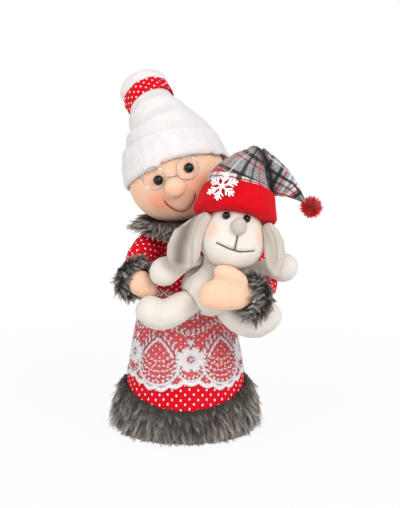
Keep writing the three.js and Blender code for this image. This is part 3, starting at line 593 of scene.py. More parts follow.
def fan_uv(piece):
    """Cloth coordinates of the flat fan that the cone is rolled from."""
    points = points_of(piece)
    slope = (HEM_RADIUS - NECK_RADIUS) / CONE_HEIGHT
    spread = slope / math.hypot(1, slope)
    distance = np.linalg.norm(points[:, :2], axis=1) / spread
    set_uv(piece, turn_of(points), lambda angle, corner: (
        distance[corner] * np.sin(angle * spread), -distance[corner] * np.cos(angle * spread)))


turns = np.arange(DRESS_SIDES) * 360 / DRESS_SIDES
heights = np.linspace(DRESS_BOTTOM, CONE_HEIGHT, DRESS_ROWS)
outside = [on_cone(turns, z) for z in heights]
inside = [on_cone(turns, z, -COTTON_THICKNESS) for z in heights[::-1]]
dress = closed_sheet("dress", outside + inside)
ruffle(dress, lambda points: 0.35 * lumps(points * (1, 1, 0.35), 16, 3) - 0.1)
fan_uv(dress)
dress_up(dress, cotton, ["dress_cone"])

# %% [markdown]
# ## Node trees with inputs
# What repeats, a lace pattern or thousands of hairs, is made by a node tree with named inputs. The
# helpers here open a tree, close it with its finish, and run it on a piece.

# %% Open, close and run a tree
def open_tree(name, inputs):
    """A tree with named inputs, each with its kind and default; gives its recipe and those inputs."""
    tree = bpy.data.node_groups.new(name, "GeometryNodeTree")
    tree.interface.new_socket("Geometry", in_out="OUTPUT", socket_type="NodeSocketGeometry")
    for title, (kind, default) in inputs.items():
        socket = tree.interface.new_socket(title, in_out="INPUT", socket_type="NodeSocket" + kind)
        if default is not None:
            socket.default_value = default
    recipe = Recipe(tree)
    return recipe, recipe.node("NodeGroupInput", output=tuple(inputs))


def close_tree(recipe, geometry, finish):
    """Makes the copies real, gives them their finish and sends them out of the tree."""
    geometry = recipe.node("GeometryNodeRealizeInstances", {}, {"Geometry": geometry})
    geometry = recipe.node("GeometryNodeSetMaterial", {}, {"Geometry": geometry, "Material": finish})
    recipe.feed(recipe.tree.nodes.new("NodeGroupOutput").inputs["Geometry"], geometry)
    return recipe.tree


def with_nodes(piece, tree, values):
    """Runs a node tree on a piece with its named inputs and settles the result."""
    tool = piece.modifiers.new("nodes", "NODES")
    tool.node_group = tree
    for item in tree.interface.items_tree:
        if item.name in values:
            tool[item.identifier] = values[item.name]
    return settle(piece)


# %% [markdown]
# ## The lace
# The lace is a net with a raised pattern: a flower, two branches of leaves, garlands under the branches
# and a scalloped border. The pattern repeats five times round the skirt.
# The net's holes are in the shader, because thousands of real holes would cost far more than they show.
# The raised stitches are real: small pads of thread, laid out flat in millimetres from the flower's
# middle. One repeat is drawn on the cone, and a node tree turns copies of it round the axis.

# %% The net
LACE_TOP, LACE_EDGE, LACE_REPEATS, LACE_TURN = 142.0, 47.0, 5, 6.0
WAVE_DEPTH, SCALLOPS_IN_REPEAT, SCALLOP_DEPTH = 7.0, 5, 3.0
LACE_REACH = 52.0
HALF_REPEAT = math.pi / LACE_REPEATS * LACE_REACH
NET_SIDES, NET_ROWS, NET_OUTSIDE, NET_INSIDE = 450, 15, 0.95, 0.75
NET_CELL, NET_THREAD = 1.7, 0.036


def lace_edge(x):
    """The height of the lower edge, x millimetres to the side of the flower."""
    turn = x / LACE_REACH
    wave = WAVE_DEPTH * (0.5 + 0.5 * np.cos(LACE_REPEATS * turn))
    scallops = 1 - np.abs(np.cos(LACE_REPEATS * SCALLOPS_IN_REPEAT * turn / 2))
    return LACE_EDGE + wave + SCALLOP_DEPTH * scallops


def net_rings(lift):
    turns = np.arange(NET_SIDES) * 360 / NET_SIDES
    bottom = lace_edge(np.radians(turns) * LACE_REACH)
    return [on_cone(turns + LACE_TURN, bottom + (LACE_TOP - bottom) * (row / (NET_ROWS - 1)) ** 1.3, lift)
            for row in range(NET_ROWS)]


def net_finish():
    finish = Finish("lace net", roughness=0.8)
    u, v = finish.cloth()
    aways = [finish.maths("ABSOLUTE", finish.maths("FRACT", way / (NET_CELL * 1.4)) - 0.5) * NET_CELL
             for way in (u + v, u - v)]
    threads = 1.0 - finish.step(finish.maths("MINIMUM", *aways), NET_THREAD * 0.6, NET_THREAD * 1.2)
    border = 1.0 - finish.step(finish.attribute("above edge"), 3.4, 4.0)
    shade = finish.mix(finish.noise(2.0, 2), 0xEDE4E6, 0xFFFFFF)
    return finish.surface(shade, finish.noise(0.8, 3) + threads, 0.2, 0.8,
                          alpha=finish.maths("MAXIMUM", threads, border))


net = closed_sheet("lace_net", net_rings(NET_OUTSIDE) + net_rings(NET_INSIDE)[::-1])
fan_uv(net)
points = points_of(net)
turned = np.degrees(turn_of(points)) - LACE_TURN
mark(net, "above edge", points[:, 2] - lace_edge(np.radians(turned) * LACE_REACH))
dress_up(net, net_finish(), ["lace_overlay"])

# %% [markdown]
# A pad is a small cushion of satin stitch. It needs few faces, because there are many hundreds: one
# ring of points with a ridge over it. A cord is a row of such pads that overlap.

# %% Pads and rows of pads
PAD_FOOT, PAD_UNDER = 0.75, 0.45


def pad(x, y, length, width, angle=0.0, height=0.75, sides=10):
    """A leaf or a petal: its points are flat, x and y in millimetres, with a height over the dress."""
    turns = np.arange(sides) * 2 * np.pi / sides
    ring = np.stack([np.cos(turns) * length / 2, np.sin(turns) * width / 2], -1)
    flat = np.concatenate([ring, ring * 0.6, [[0, 0], [0, 0]]])
    heights = np.concatenate([np.full(sides, PAD_FOOT), np.full(sides, PAD_FOOT + height * 0.8),
                              [PAD_FOOT + height, PAD_UNDER]])
    a = math.radians(angle)
    turn = np.array([[math.cos(a), math.sin(a)], [-math.sin(a), math.cos(a)]])
    points = np.column_stack([flat @ turn + (x, y), heights])
    faces = []
    for i in range(sides):
        j = (i + 1) % sides
        faces += [(i, j, sides + j, sides + i), (sides + i, sides + j, 2 * sides), (j, i, 2 * sides + 1)]
    return points, faces


def row(path, spacing, length, width, lean=0.0, height=0.75, count=60):
    """Pads along a flat line, each turned by `lean` degrees from the way of the line."""
    line = rounded([(x, y, 0) for x, y in path], count)[:, :2]
    lengths = travel(line)
    steps = max(2, round(lengths[-1] / spacing))

    def spot(at):
        return np.array([np.interp(at, lengths, line[:, k]) for k in range(2)])

    pads = []
    for at in (np.arange(steps) + 0.5) / steps * lengths[-1]:
        ahead = spot(at + 0.5) - spot(at - 0.5)
        angle = math.degrees(math.atan2(ahead[1], ahead[0]))
        pads.append(pad(*spot(at), length, width, angle + lean, height))
    return pads


def arc(x, y, wide, high, first, last, count):
    """A line round a part of an oval, with its angles in radians."""
    return [(x + wide * math.cos(t), y + high * math.sin(t)) for t in np.linspace(first, last, count)]


def moved(path, right, up):
    return [(x + right, y + up) for x, y in path]


def shrunk(path, x, y, share):
    """The same line, smaller, about a point."""
    return [(x + (a - x) * share, y + (b - y) * share) for a, b in path]


def mirrored(parts):
    """The same parts on the other side of the flower."""
    return [(points * (-1, 1, 1), [face[::-1] for face in faces]) for points, faces in parts]


# %% [markdown]
# One repeat is a flower and, on both sides of it, a branch, garlands, a fan and a piece of the border.
# One half is drawn and mirrored. All places are millimetres to the side of the flower and above the base.

# %% One repeat of the pattern
FLOWER = 79.0
PETALS = 8
APEX = (HALF_REPEAT, 97.0)
QUARTER = math.pi / 2


def flower():
    """Eight petals with small pads between and round them, a ring in the middle, and a bud above."""
    parts = []
    half_turn = math.pi / PETALS
    for petal in range(PETALS):
        a = half_turn * (2 * petal + 1)
        across, up = math.cos(a), math.sin(a)
        turn = math.degrees(math.atan2(up * 0.8, across))
        parts.append(pad(9.4 * across, FLOWER + 7.3 * up, 10.4, 8.4, turn, 0.7, 14))
        between = a + half_turn
        parts.append(pad(8.6 * math.cos(between), FLOWER + 6.7 * math.sin(between), 5.6, 5.2, turn, 0.62))
        for side in (-2.2, 2.2):
            parts.append(pad(13.2 * across + up * side, FLOWER + 10.2 * up - across * side, 3.6, 3.6, turn))
    parts += row(arc(0, FLOWER, 4.6, 5.0, 0, 2 * np.pi, 17), 1.5, 2.4, 2.4, height=1.1)
    parts += [pad(side * 0.9, FLOWER, 1.5, 4.2, 0, 0.7) for side in (-1, 1)]
    parts += [pad(side * 2.8, 97, 2.8, 2.4) for side in (-1, 1)]
    return parts + [pad(0, 95, 7.0, 4.8, 0, 0.9), pad(0, 92.4, 2.6, 2.4)]


def half_of_the_rest():
    """Branch, garlands and border from the flower to the middle of the next repeat."""
    x_top, y_top = APEX
    branch = [(16.5, 80.5), (20, 85), (25, 91), APEX]
    fan = arc(x_top, 74, -21.5, -20.5, -0.1, QUARTER, 9)
    under = arc(0, 71.5, 13.2, -12.5, 0.1, QUARTER, 7)
    edge = [(x, float(lace_edge(x))) for x in np.linspace(0.8, x_top - 0.8, 40)]
    rows = [
        (branch, 6.2, 7.6, 3.2, 6, 0.9),
        (moved(branch, -4.2, 2.6), 5.6, 6.0, 2.5, 26),
        ([(12.5, 84.5), (15.5, 92), (20.5, 98.5), (28, 103.5)], 6.0, 4.8, 2.2, 40, 0.6),
        (fan, 3.2, 4.2, 3.3, 0, 0.95),
        (shrunk(fan, x_top, 74, 0.86), 4.8, 3.0, 2.6, 90, 0.6),
        (under, 3.2, 4.0, 3.0, 0, 0.9),
        (shrunk(under, 0, 71.5, 0.78), 4.2, 2.6, 2.2, 90, 0.6),
        (moved(edge, 0, 0.9), 2.6, 2.3, 1.9, 90, 0.6, 200),
        (moved(edge, 0, 3.8), 4.4, 4.6, 2.6, 0, 0.8, 200),
    ]
    for reach, low in ((15, 76), (17.5, 71.4), (18.6, 66.4), (18.0, 61.2)):
        rows.append((arc(x_top, low + 10, -reach, -10, 0.2, QUARTER, 7), 4.6, 3.9, 1.7, 16, 0.6))
    for low, high in ((102.5, 111), (117, 127), (131, 138)):
        swag = [(x, low + (high - low) * (1 - math.cos(x / x_top * math.pi)) / 2)
                for x in np.linspace(0, x_top, 9)]
        rows += [(swag, 5.6, 5.2, 2.4, 28, 0.7), (moved(swag, 0, 2.8), 5.6, 4.2, 2.0, -28, 0.6)]
    knot = pad(x_top, y_top + 1.5, 3.6, 3.2, 0, 0.9)
    return [part for details in rows for part in row(*details)] + [knot]


half = half_of_the_rest()
flat_points, flat_faces = joined(flower() + half + mirrored(half))
laid = on_cone(np.degrees(flat_points[:, 0] / LACE_REACH), flat_points[:, 1], flat_points[:, 2])
one_repeat = facing_out(mesh_object("lace_repeat", laid, flat_faces))
print("one repeat of the pattern has", len(flat_faces), "faces")

# %% [markdown]
# The copies could be made in Python, but a tree with a number of repeats can be changed in the panel.

# %% Turn copies of it round the axis
def around_tree():
    """Copies of a geometry, turned evenly about the upright axis."""
    recipe, (shape, repeats, first, finish) = open_tree("around", {
        "Geometry": ("Geometry", None), "Repeats": ("Int", 5), "First turn": ("Float", 0.0),
        "Finish": ("Material", None)})
    spots = recipe.node("GeometryNodePoints", {}, {"Count": repeats, "Radius": 0.01})
    angle = recipe.node("GeometryNodeInputIndex") * (2 * math.pi) / repeats + first
    copies = recipe.node("GeometryNodeInstanceOnPoints", {}, {
        "Points": spots, "Instance": shape, "Rotation": recipe.vector(0.0, 0.0, angle)})
    return close_tree(recipe, copies, finish)


def stitches_finish():
    finish = Finish("white lace stitches", roughness=0.75, sheen_weight=0.2)
    shade = finish.mix(finish.noise(3, 2), 0xCFC5C8, 0xE8DFE1)
    return finish.surface(shade, finish.noise(0.45, 2, stretch=(1.0, 1.0, 0.35)), 0.12, 0.8)


lace_stitches = with_nodes(one_repeat, around_tree(), {
    "Repeats": LACE_REPEATS, "First turn": math.radians(LACE_TURN), "Finish": stitches_finish()})
lace_stitches.name = "lace_stitches"
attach(lace_stitches, "figure")
print("stitches:", len(lace_stitches.data.polygons), "faces")

# %% [markdown]
# ## Fur
# The hem, the collar and the cuffs are long-pile fur: dark at the roots, grey at the tips, and parted
# into locks. Painted fur would look flat against the white floor, so each hair is a thin tapered blade.
# One node tree makes them all. It scatters roots over a backing, stands a line on each root, bends the
# line by a comb direction kept on the backing, and draws the hairs of a lock together at their tips.

# %% The fur tree
def store(recipe, geometry, name, value, kind="FLOAT"):
    settings = {"data_type": kind, "domain": "POINT"}
    return recipe.node("GeometryNodeStoreNamedAttribute", settings,
                       {"Geometry": geometry, "Name": name, "Value": value})


def kept(recipe, name, kind="FLOAT"):
    return recipe.node("GeometryNodeInputNamedAttribute", {"data_type": kind}, {"Name": name}, "Attribute")


def chance(recipe, low, high, seed, kind="FLOAT"):
    inputs = {"Min": low, "Max": high, "Seed": seed}
    return recipe.node("FunctionNodeRandomValue", {"data_type": kind}, inputs, "Value")


def hair_line(root, normal, comb, stray, lift, length, t):
    """Where a hair is at the share t of its length: it stands up first, then lies along the comb."""
    rise = lift * t * (1.0 - 0.45 * t)
    lie = t * (0.45 + 0.55 * t)
    return root + (normal * rise + comb * lie + stray * (t * t)) * length


FUR_INPUTS = {
    "Geometry": ("Geometry", None), "Hairs per m2": ("Float", 1e6), "Locks per m2": ("Float", 3e4),
    "Hair length": ("Float", 0.02), "Hair width": ("Float", 0.0004), "Lift": ("Float", 0.4),
    "Lock strength": ("Float", 0.7), "Stray": ("Float", 0.2), "Seed": ("Int", 1), "Points": ("Int", 4),
    "Finish": ("Material", None)}
FLOOR_CLEARANCE = 0.8 * MM
OWN_TINT = 0.35


def fur_tree():
    recipe, (skin, hairs, locks, length, width, lift, strength, stray, seed, count, finish) = open_tree(
        "fur", FUR_INPUTS)
    place = recipe.node("GeometryNodeInputPosition")

    def scatter(density, seed):
        points, normal = recipe.node("GeometryNodeDistributePointsOnFaces", {},
                                     {"Mesh": skin, "Density": density, "Seed": seed}, ("Points", "Normal"))
        points = store(recipe, points, "root", place, "FLOAT_VECTOR")
        points = store(recipe, points, "standing", normal, "FLOAT_VECTOR")
        wild = chance(recipe, (-1.0, -1.0, -1.0), (1.0, 1.0, 1.0), seed + 5, "FLOAT_VECTOR") * stray
        points = store(recipe, points, "wild", wild, "FLOAT_VECTOR")
        points = store(recipe, points, "size", chance(recipe, 0.62, 1.0, seed + 9))
        return store(recipe, points, "tint", chance(recipe, 0.0, 1.0, seed + 13))

    roots = scatter(hairs, seed)
    guides = scatter(locks, seed + 1)
    line = recipe.node("GeometryNodeCurvePrimitiveLine", {}, {"Start": (0, 0, 0), "End": (0, 0, MM)})
    line = recipe.node("GeometryNodeResampleCurve", {"mode": "COUNT"}, {"Curve": line, "Count": count})
    strands = recipe.node("GeometryNodeInstanceOnPoints", {}, {"Points": roots, "Instance": line})
    strands = recipe.node("GeometryNodeRealizeInstances", {}, {"Geometry": strands})
    t = recipe.node("GeometryNodeSplineParameter", output="Factor")
    own = [kept(recipe, name, "FLOAT_VECTOR") for name in ("root", "standing", "comb", "wild")]

    def at_guide(value, kind="FLOAT"):
        nearest = recipe.node("GeometryNodeSampleNearest", {"domain": "POINT"},
                              {"Geometry": guides, "Sample Position": own[0]})
        return recipe.node("GeometryNodeSampleIndex", {"data_type": kind, "domain": "POINT"},
                           {"Geometry": guides, "Value": value, "Index": nearest})

    size, tint = kept(recipe, "size"), kept(recipe, "tint")
    own_line = hair_line(*own, lift, length * size, t)
    lock = [at_guide(value, "FLOAT_VECTOR") for value in own]
    lock_line = hair_line(*lock, lift, length * at_guide(size), t)
    bent = own_line + (lock_line - own_line) * (strength * (t ** 1.4))
    x, y, z = recipe.xyz(bent)
    clear = recipe.vector(x, y, recipe.maths("MAXIMUM", z, FLOOR_CLEARANCE))
    strands = recipe.node("GeometryNodeSetPosition", {}, {"Geometry": strands, "Position": clear})
    strands = store(recipe, strands, "tip", t)
    strands = store(recipe, strands, "tint", tint * OWN_TINT + at_guide(tint) * (1 - OWN_TINT))
    outline = recipe.node("GeometryNodeCurvePrimitiveCircle", {"mode": "RADIUS"},
                          {"Resolution": 3, "Radius": width})
    blades = recipe.node("GeometryNodeCurveToMesh", {}, {
        "Curve": strands, "Profile Curve": outline, "Scale": 1.02 - 0.94 * (t ** 1.5), "Fill Caps": True})
    return close_tree(recipe, blades, finish)


fur_nodes = fur_tree()
print("the fur tree has", len(fur_nodes.nodes), "nodes")

# %% [markdown]
# A coat is dark at its roots and pale at its tips, and each lock has a shade of its own.

# %% Fur finishes
def fur_finish(name, root, middle, tip):
    finish = Finish(name, roughness=0.55, sheen_weight=0.1)
    tint = finish.attribute("tint")
    stops = [(place, colour_of(c)) for place, c in ((0.0, root), (0.35, root), (0.7, middle), (1.0, tip))]
    along = finish.attribute("tip") * (0.75 + 0.45 * tint)
    ramped = finish.node("ShaderNodeValToRGB", {"stops": stops}, {0: along})
    shade = finish.mix(tint, (0.55, 0.55, 0.55, 1), (1.25, 1.25, 1.25, 1))
    settings = {"data_type": "RGBA", "blend_type": "MULTIPLY"}
    return finish.set(base_color=finish.node("ShaderNodeMix", settings, {0: 1.0, 6: ramped, 7: shade}, 2))


def fur_backing_finish():
    finish = Finish("fur backing", roughness=0.95)
    colour = finish.mix(finish.noise(2.5, 3), 0x241F1C, 0x3A332F)
    return finish.surface(colour, finish.noise(1.0, 2), 0.6, 0.8)


fur_dark = fur_finish("fur, underneath", 0x332C28, 0x736A63, 0x9A928B)
fur_light = fur_finish("fur, guard hairs", 0x5E5650, 0xB0A69E, 0xDDD6CF)
backing_finish = fur_backing_finish()
print("made", fur_dark.name, "and", fur_light.name)

# %% [markdown]
# A strip of fur is a backing with two coats: a short dark one close to the skin, and longer, finer and
# paler guard hairs over it. The backing takes the place of the solid, a little inside it.

# %% Grow fur on a backing
UNDER_POINTS, GUARD_POINTS = 3, 4


def shave(piece, keep):
    """A copy of the backing with only the faces that keep(centres, normals) names."""
    copy = add_object(piece.name + "_part", piece.data.copy())
    trimmed = bmesh.new()
    trimmed.from_mesh(copy.data)
    centres = np.array([face.calc_center_median() for face in trimmed.faces]) / MM
    wanted = keep(centres, np.array([face.normal for face in trimmed.faces]))
    unwanted = [face for face, stay in zip(list(trimmed.faces), wanted) if not stay]
    bmesh.ops.delete(trimmed, geom=unwanted, context="FACES")
    trimmed.to_mesh(copy.data)
    trimmed.free()
    return copy


def grow(name, skin, comb, coat, finish, seed, points, body="figure"):
    """Grows one coat on a skin. comb(points, normals) gives the way that the hairs lie."""
    hairs, locks, length, width, strength, stray = coat
    directions = np.asarray(comb(points_of(skin), normals_of(skin)), np.float32)
    kept_directions = skin.data.attributes
    kept_directions = kept_directions.get("comb") or kept_directions.new("comb", "FLOAT_VECTOR", "POINT")
    kept_directions.data.foreach_set("vector", directions.ravel())
    area = sum(face.area for face in skin.data.polygons)
    grown = with_nodes(add_object(name, skin.data.copy()), fur_nodes, {
        "Hairs per m2": hairs / area, "Locks per m2": locks / area, "Hair length": length * MM,
        "Hair width": width * MM, "Lift": 0.4, "Lock strength": strength, "Stray": stray, "Seed": seed,
        "Points": points, "Finish": finish})
    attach(grown, body)
    print(name, "has", len(grown.data.polygons), "faces")
    return grown


def two_coats(place, suffix, backing, face, comb, under, guard, seeds):
    """Both coats on the faces of a backing; a coat is hairs, locks, length, width, lock strength, stray."""
    strip = shave(backing, face)
    grow(f"{place}_under{suffix}", strip, comb, under, fur_dark, seeds[0], UNDER_POINTS)
    grow(f"{place}_hairs{suffix}", strip, comb, guard, fur_light, seeds[1], GUARD_POINTS)
    bpy.data.objects.remove(strip)


# %% [markdown]
# ## The fur round the hem
# It stands on the floor, is fuller in its lower half, and dips in front. The hairs of its upper edge
# stand up and outwards; further down they fall towards the floor. It grows in three strips, so that no
# piece gets too large.

# %% Comb and grow the hem
UP = np.array((0, 0, 1))
HEM_UNDER = (4600, 700, 15, 0.3, 0.6, 0.3)
HEM_GUARD = (7000, 640, 24, 0.22, 0.88, 0.28)
hem_backing = stuffed("hem_backing", "hem_fur", voxel=2.0, rounds=8, finer=0)
points = points_of(hem_backing)
reach = np.linalg.norm(points[:, :2], axis=1)
skirt = cone_radius(points[:, 2]) + 0.6
closer = skirt + np.maximum(reach - skirt, 0) * 0.42 * np.clip(points[:, 2] / 16, 0.3, 1)
points[:, :2] *= np.where(reach > skirt, closer / reach, 1)[:, None]
move_points(hem_backing, points)
ruffle(hem_backing, lambda points: 0.8 * lumps(points, 7, 2))
move_points(hem_backing, np.maximum(points_of(hem_backing), (-999, -999, 0.2)))
dress_up(hem_backing, backing_finish, ["hem_fur"])


def comb_hem(points, normals):
    outward = unit(points * (1, 1, 0))
    frontness = np.clip(-outward[:, 1], 0, 1)
    share = np.clip(points[:, 2] / (46 - 15 * frontness**1.5), 0, 1)
    upper = ramp(share, 0.7, 1)
    fall = -1.0 + (0.9 - 0.3 * frontness) * upper**1.5
    apart = -0.22 + 0.42 * ramp(share, 0.15, 0.6) - 0.16 * upper
    sideways = np.cross(outward, UP) * (0.4 * lumps(points, 16, 5) + 0.2 * lumps(points, 6, 6))[:, None]
    lie = unit(outward * apart[:, None] + sideways + UP * fall[:, None])
    return lie * (np.clip(0.25 + points[:, 2] / 24, 0.25, 1) * (1 - 0.35 * upper))[:, None]


def hem_strip(number):
    """Picks the outer faces in one third of the way round."""
    def face(centres, normals):
        outside = ((normals * unit(centres * (1, 1, 0))).sum(1) > 0.05) | (normals[:, 2] > 0.5)
        return outside & (((np.degrees(turn_of(centres)) + 180) // 120).astype(int) == number)
    return face


for number in range(3):
    two_coats("hem_fur", f"_{number + 1}", hem_backing, hem_strip(number), comb_hem, HEM_UNDER, HEM_GUARD,
              (10 + number, 20 + number))

# %% [markdown]
# ## The collar
# The same fur lies round the neck like a wheel. Its hairs spread from under the chin, out and down over
# the shoulders.

# %% Comb and grow the collar
NECK, NECK_WIDTH = np.array((-4.0, -4.0, 200.0)), 22
COLLAR_UNDER = (4500, 560, 8, 0.3, 0.6, 0.35)
COLLAR_GUARD = (6800, 520, 12, 0.21, 0.86, 0.35)
collar_backing = stuffed("collar_backing", "collar_fur", voxel=1.6, rounds=8, finer=0)
points = points_of(collar_backing)
points[:, 2] += 6.0 * ramp(points[:, 2], 200, 186)
move_points(collar_backing, points)
ruffle(collar_backing, lambda points: -4.0 + 1.0 * lumps(points, 6, 4))
dress_up(collar_backing, backing_finish, ["collar_fur"])


def comb_collar(points, normals):
    outward = unit((points - NECK) * (1, 1, 0))
    sideways = np.cross(outward, UP) * (0.45 * lumps(points, 10, 8))[:, None]
    drop = -0.6 + 0.5 * ramp(points[:, 2:3], 199, 191) + 0.45 * np.clip(-outward[:, :1] - 0.2, 0, 1)
    return unit(outward * 0.85 + sideways + UP * drop)


def collar_face(centres, normals):
    out = (centres - NECK) * (1, 1, 0)
    return ((normals * unit(out)).sum(1) > 0.0) & (np.linalg.norm(out, axis=1) > NECK_WIDTH)


two_coats("collar_fur", "", collar_backing, collar_face, comb_collar, COLLAR_UNDER, COLLAR_GUARD, (31, 32))

# %% [markdown]
# ## The cuffs
# Each cuff is a short tube of fur round a wrist. The hairs stand out all round it and droop. Each wrist
# has its middle and its axis; the rest says how its fur leans, how far it is moved and how long it is.

# %% Comb and grow the cuffs
CUFF_UNDER = (2800, 320, 6.5, 0.28, 0.6, 0.35)
CUFFS = {
    "right": (np.array((-50, -46, 157.0)), direction(0.5, -0.8, -0.2),
              (0.3, -0.1, 0.1), (2.5, -1.0, 0), 9.5),
    "left": (np.array((65, -85.1, 149)), direction(-0.7, -0.7, 0.05),
             (-0.15, -0.15, 0), (-1.5, -1.5, 0), 12.0),
}
for side, (middle, axis, lean, shift, long) in CUFFS.items():
    backing = stuffed(f"cuff_backing_{side}", f"cuff_fur_{side}", voxel=1.4, rounds=8, finer=0)
    ruffle(backing, lambda points: -3.5 + 0.8 * lumps(points, 5, 6))
    move_points(backing, points_of(backing) + shift)
    dress_up(backing, backing_finish, [f"cuff_fur_{side}"])

    def radial(points):
        out = points - middle
        return unit(out - axis * (out @ axis)[:, None])

    def comb_cuff(points, normals):
        bend = np.cross(radial(points), axis) * (0.5 * lumps(points, 8, 9))[:, None]
        front = np.clip(normals @ axis, 0, 1)[:, None]
        outward = radial(points) * (0.85 - 1.05 * front)
        return unit(outward + bend + axis * (0.3 + 0.3 * front) + lean - UP * 0.25)

    def cuff_face(centres, normals):
        return ((normals * radial(centres)).sum(1) > 0.1) | (normals @ axis > 0.3)

    two_coats("cuff_fur", f"_{side}", backing, cuff_face, comb_cuff, CUFF_UNDER,
              (4400, 320, long, 0.2, 0.86, 0.35), (41, 42))

# %% [markdown]
# ## Sleeves
# The sleeves are tubes of the dress's cotton with a soft filling. Pulled over the wadding they crease
# across the arm, so the skin is ruffled along its length.

# %% Sleeves
DOG = np.array((26.0, -61.134, 151.0))
SHOULDERS = np.array((0.0, 0.0, 190.0))
SLEEVE_PATHS = {
    "right": SHOULDERS + [(-16, -2, 0), (-31, -15, -6), (-42.5, -31, -17), (-49, -44, -30)],
    "left": [SHOULDERS + (18, -4, 0),
             *(DOG + [(23, 51, 30), (42, 36, 17), (48.5, 17, 7), (49, -4, 1.5), (42, -19, 0)])],
}


def creases(points):
    return 0.7 * lumps(points * (0.6, 0.6, 1.6), 7, 11) + 0.3 * lumps(points, 3.5, 12) - 0.2


for side, path in SLEEVE_PATHS.items():
    sleeve = stuffed(f"sleeve_{side}_cloth", f"sleeve_{side}", voxel=1.7, rounds=10)
    ruffle(sleeve, creases)
    points, (wrist, axis) = points_of(sleeve), CUFFS[side][:2]
    past_wrist = np.maximum((points - wrist) @ axis - 1, 0) * (np.linalg.norm(points - wrist, axis=1) < 30)
    move_points(sleeve, points - axis * past_wrist[:, None])
    wrap(sleeve, path, (0, 1, -0.3), 12)
    dress_up(sleeve, cotton, [f"sleeve_{side}"])

# %% [markdown]
# ## Skin
# Head, nose and hands are stuffed pieces of a smooth knit in a skin colour. The cheeks and the tip of
# the nose are rouged. The colour is mixed by the distance from a point of the face, so it needs no
# image.

# %% The face's own frame
class Ball:
    """A stuffed ball that leans towards -X, with places on its front."""

    def __init__(self, centre, size, lean=0, taper=0.0):
        self.centre, self.size, self.taper = np.array(centre, float), np.array(size, float), taper
        a = math.radians(-lean)
        self.turn = np.array([[math.cos(a), 0, math.sin(a)], [0, 1, 0], [-math.sin(a), 0, math.cos(a)]])

    def place(self, *local):
        return self.turn @ np.array(local, float) + self.centre

    def on(self, u, w, lift=0.0):
        narrow = 1 - self.taper * w / self.size[2]
        a, b, c = self.size[0] * narrow, self.size[1] * narrow, self.size[2]
        v = -b * math.sqrt(max(0.0, 1 - (u / a) ** 2 - (w / c) ** 2))
        return self.place(*(np.array((u, v, w)) + direction(u / a**2, v / b**2, w / c**2) * lift))

    def skin(self, name, fine, swell=None):
        made = bmesh.new()
        bmesh.ops.create_icosphere(made, subdivisions=fine, radius=1)
        mesh = bpy.data.meshes.new(name)
        made.to_mesh(mesh)
        made.free()
        piece = add_object(name, mesh)
        ball = unit(np.array([v.co for v in mesh.vertices]))
        narrow = 1 - self.taper * ball[:, 2:3]
        local = ball * self.size * np.concatenate([narrow, narrow, np.ones_like(narrow)], 1)
        if swell is not None:
            local = local + ball * swell(local)[:, None]
        move_points(piece, local @ self.turn.T + self.centre)
        mesh.shade_smooth()
        return piece


def hollow(u, w, spot, spread):
    """1 at a spot of the face, fading round it."""
    return np.exp(-((u - spot[0]) ** 2 + (w - spot[1]) ** 2) / spread)


def drawn_in(u, w, line, width):
    """1 under a thread of the face, fading to both sides."""
    line = np.array(line, float)
    fine = np.concatenate([np.linspace(a, b, 8) for a, b in zip(line[:-1], line[1:])])
    return bell(np.min(np.hypot(u[:, None] - fine[:, 0], w[:, None] - fine[:, 1]), axis=1), width)


HEAD_SIZE = (46, 40, 41)
head_ball = Ball((-7.7, -8, 244.47), HEAD_SIZE, 22)
NOSE_U, NOSE_W, NOSE_RADIUS = -1.8, -1.8, 9.6
print("the nose is at", head_ball.on(NOSE_U, NOSE_W).round(1))

# %% [markdown]
# The cheeks stand out a little. The skin is drawn in under the smile's thread and behind the eyes.

# %% Skin knit and the head
EYES_OF_FIGURE = [(-13.8, 9.6), (16.2, 9.6)]
SMILE = [(-15.9, -10.3), (-15.5, -13.6), (-13.7, -17.8), (-10.1, -23.3), (-4.8, -26.8), (0.5, -26.6),
         (6, -23), (10.2, -18.8), (12.7, -15)]


def knit(finish, pitch):
    """Rows of small loops, as a height."""
    x, y, z = finish.xyz(finish.place())
    rows = finish.maths("SINE", z * (2 * math.pi / (pitch * MM)))
    return rows * finish.maths("SINE", (x + y * 0.35) * (2 * math.pi / (pitch * 1.2 * MM)))


def skin_finish(name, rouge=()):
    finish = Finish(name, roughness=0.85, sheen_weight=0.1, sheen_roughness=0.6)
    colour = finish.blush(finish.mix(finish.noise(9, 3), 0xE8B998, 0xF3CBB0), rouge, 0.15)
    return finish.surface(colour, knit(finish, 0.9) * 0.4 + finish.noise(0.6, 2), 0.12, 0.7)


def face_swell(local):
    u, v, w = local.T
    swell = -0.9 * drawn_in(u, w, SMILE, 2.0)
    for eye in EYES_OF_FIGURE:
        swell -= 1.3 * hollow(u, w, eye, 22)
    for cheek in ((-19, -12), (15, -9)):
        swell += 1.0 * hollow(u, w, cheek, 90)
    return swell * (v < 0)


rouge = [(head_ball.on(-22, -10), 17, 0.65, 0xF08C64), (head_ball.on(19, -5.5), 14, 0.45, 0xF08C64)]
face = head_ball.skin("head_skin", 7, face_swell)
dress_up(face, skin_finish("skin of the head", rouge), ["head"])

# %% [markdown]
# The hands are mittens. They narrow towards the fur of the cuffs, and the left fist is drawn over
# towards the dog's middle, which leaves a crease under its thumb.

# %% Nose and hands
nose_middle = head_ball.place(NOSE_U, -(HEAD_SIZE[1] + NOSE_RADIUS * 0.2), NOSE_W)
nose_ball = Ball(nose_middle, (9.98, NOSE_RADIUS, NOSE_RADIUS))
nose_skin = skin_finish("skin of the nose", [(nose_ball.centre + (0, -10, -3), 13, 0.2, 0xF2A684)])
dress_up(nose_ball.skin("nose_ball", 5), nose_skin, ["nose"])
hand_skin = skin_finish("skin of the hands")


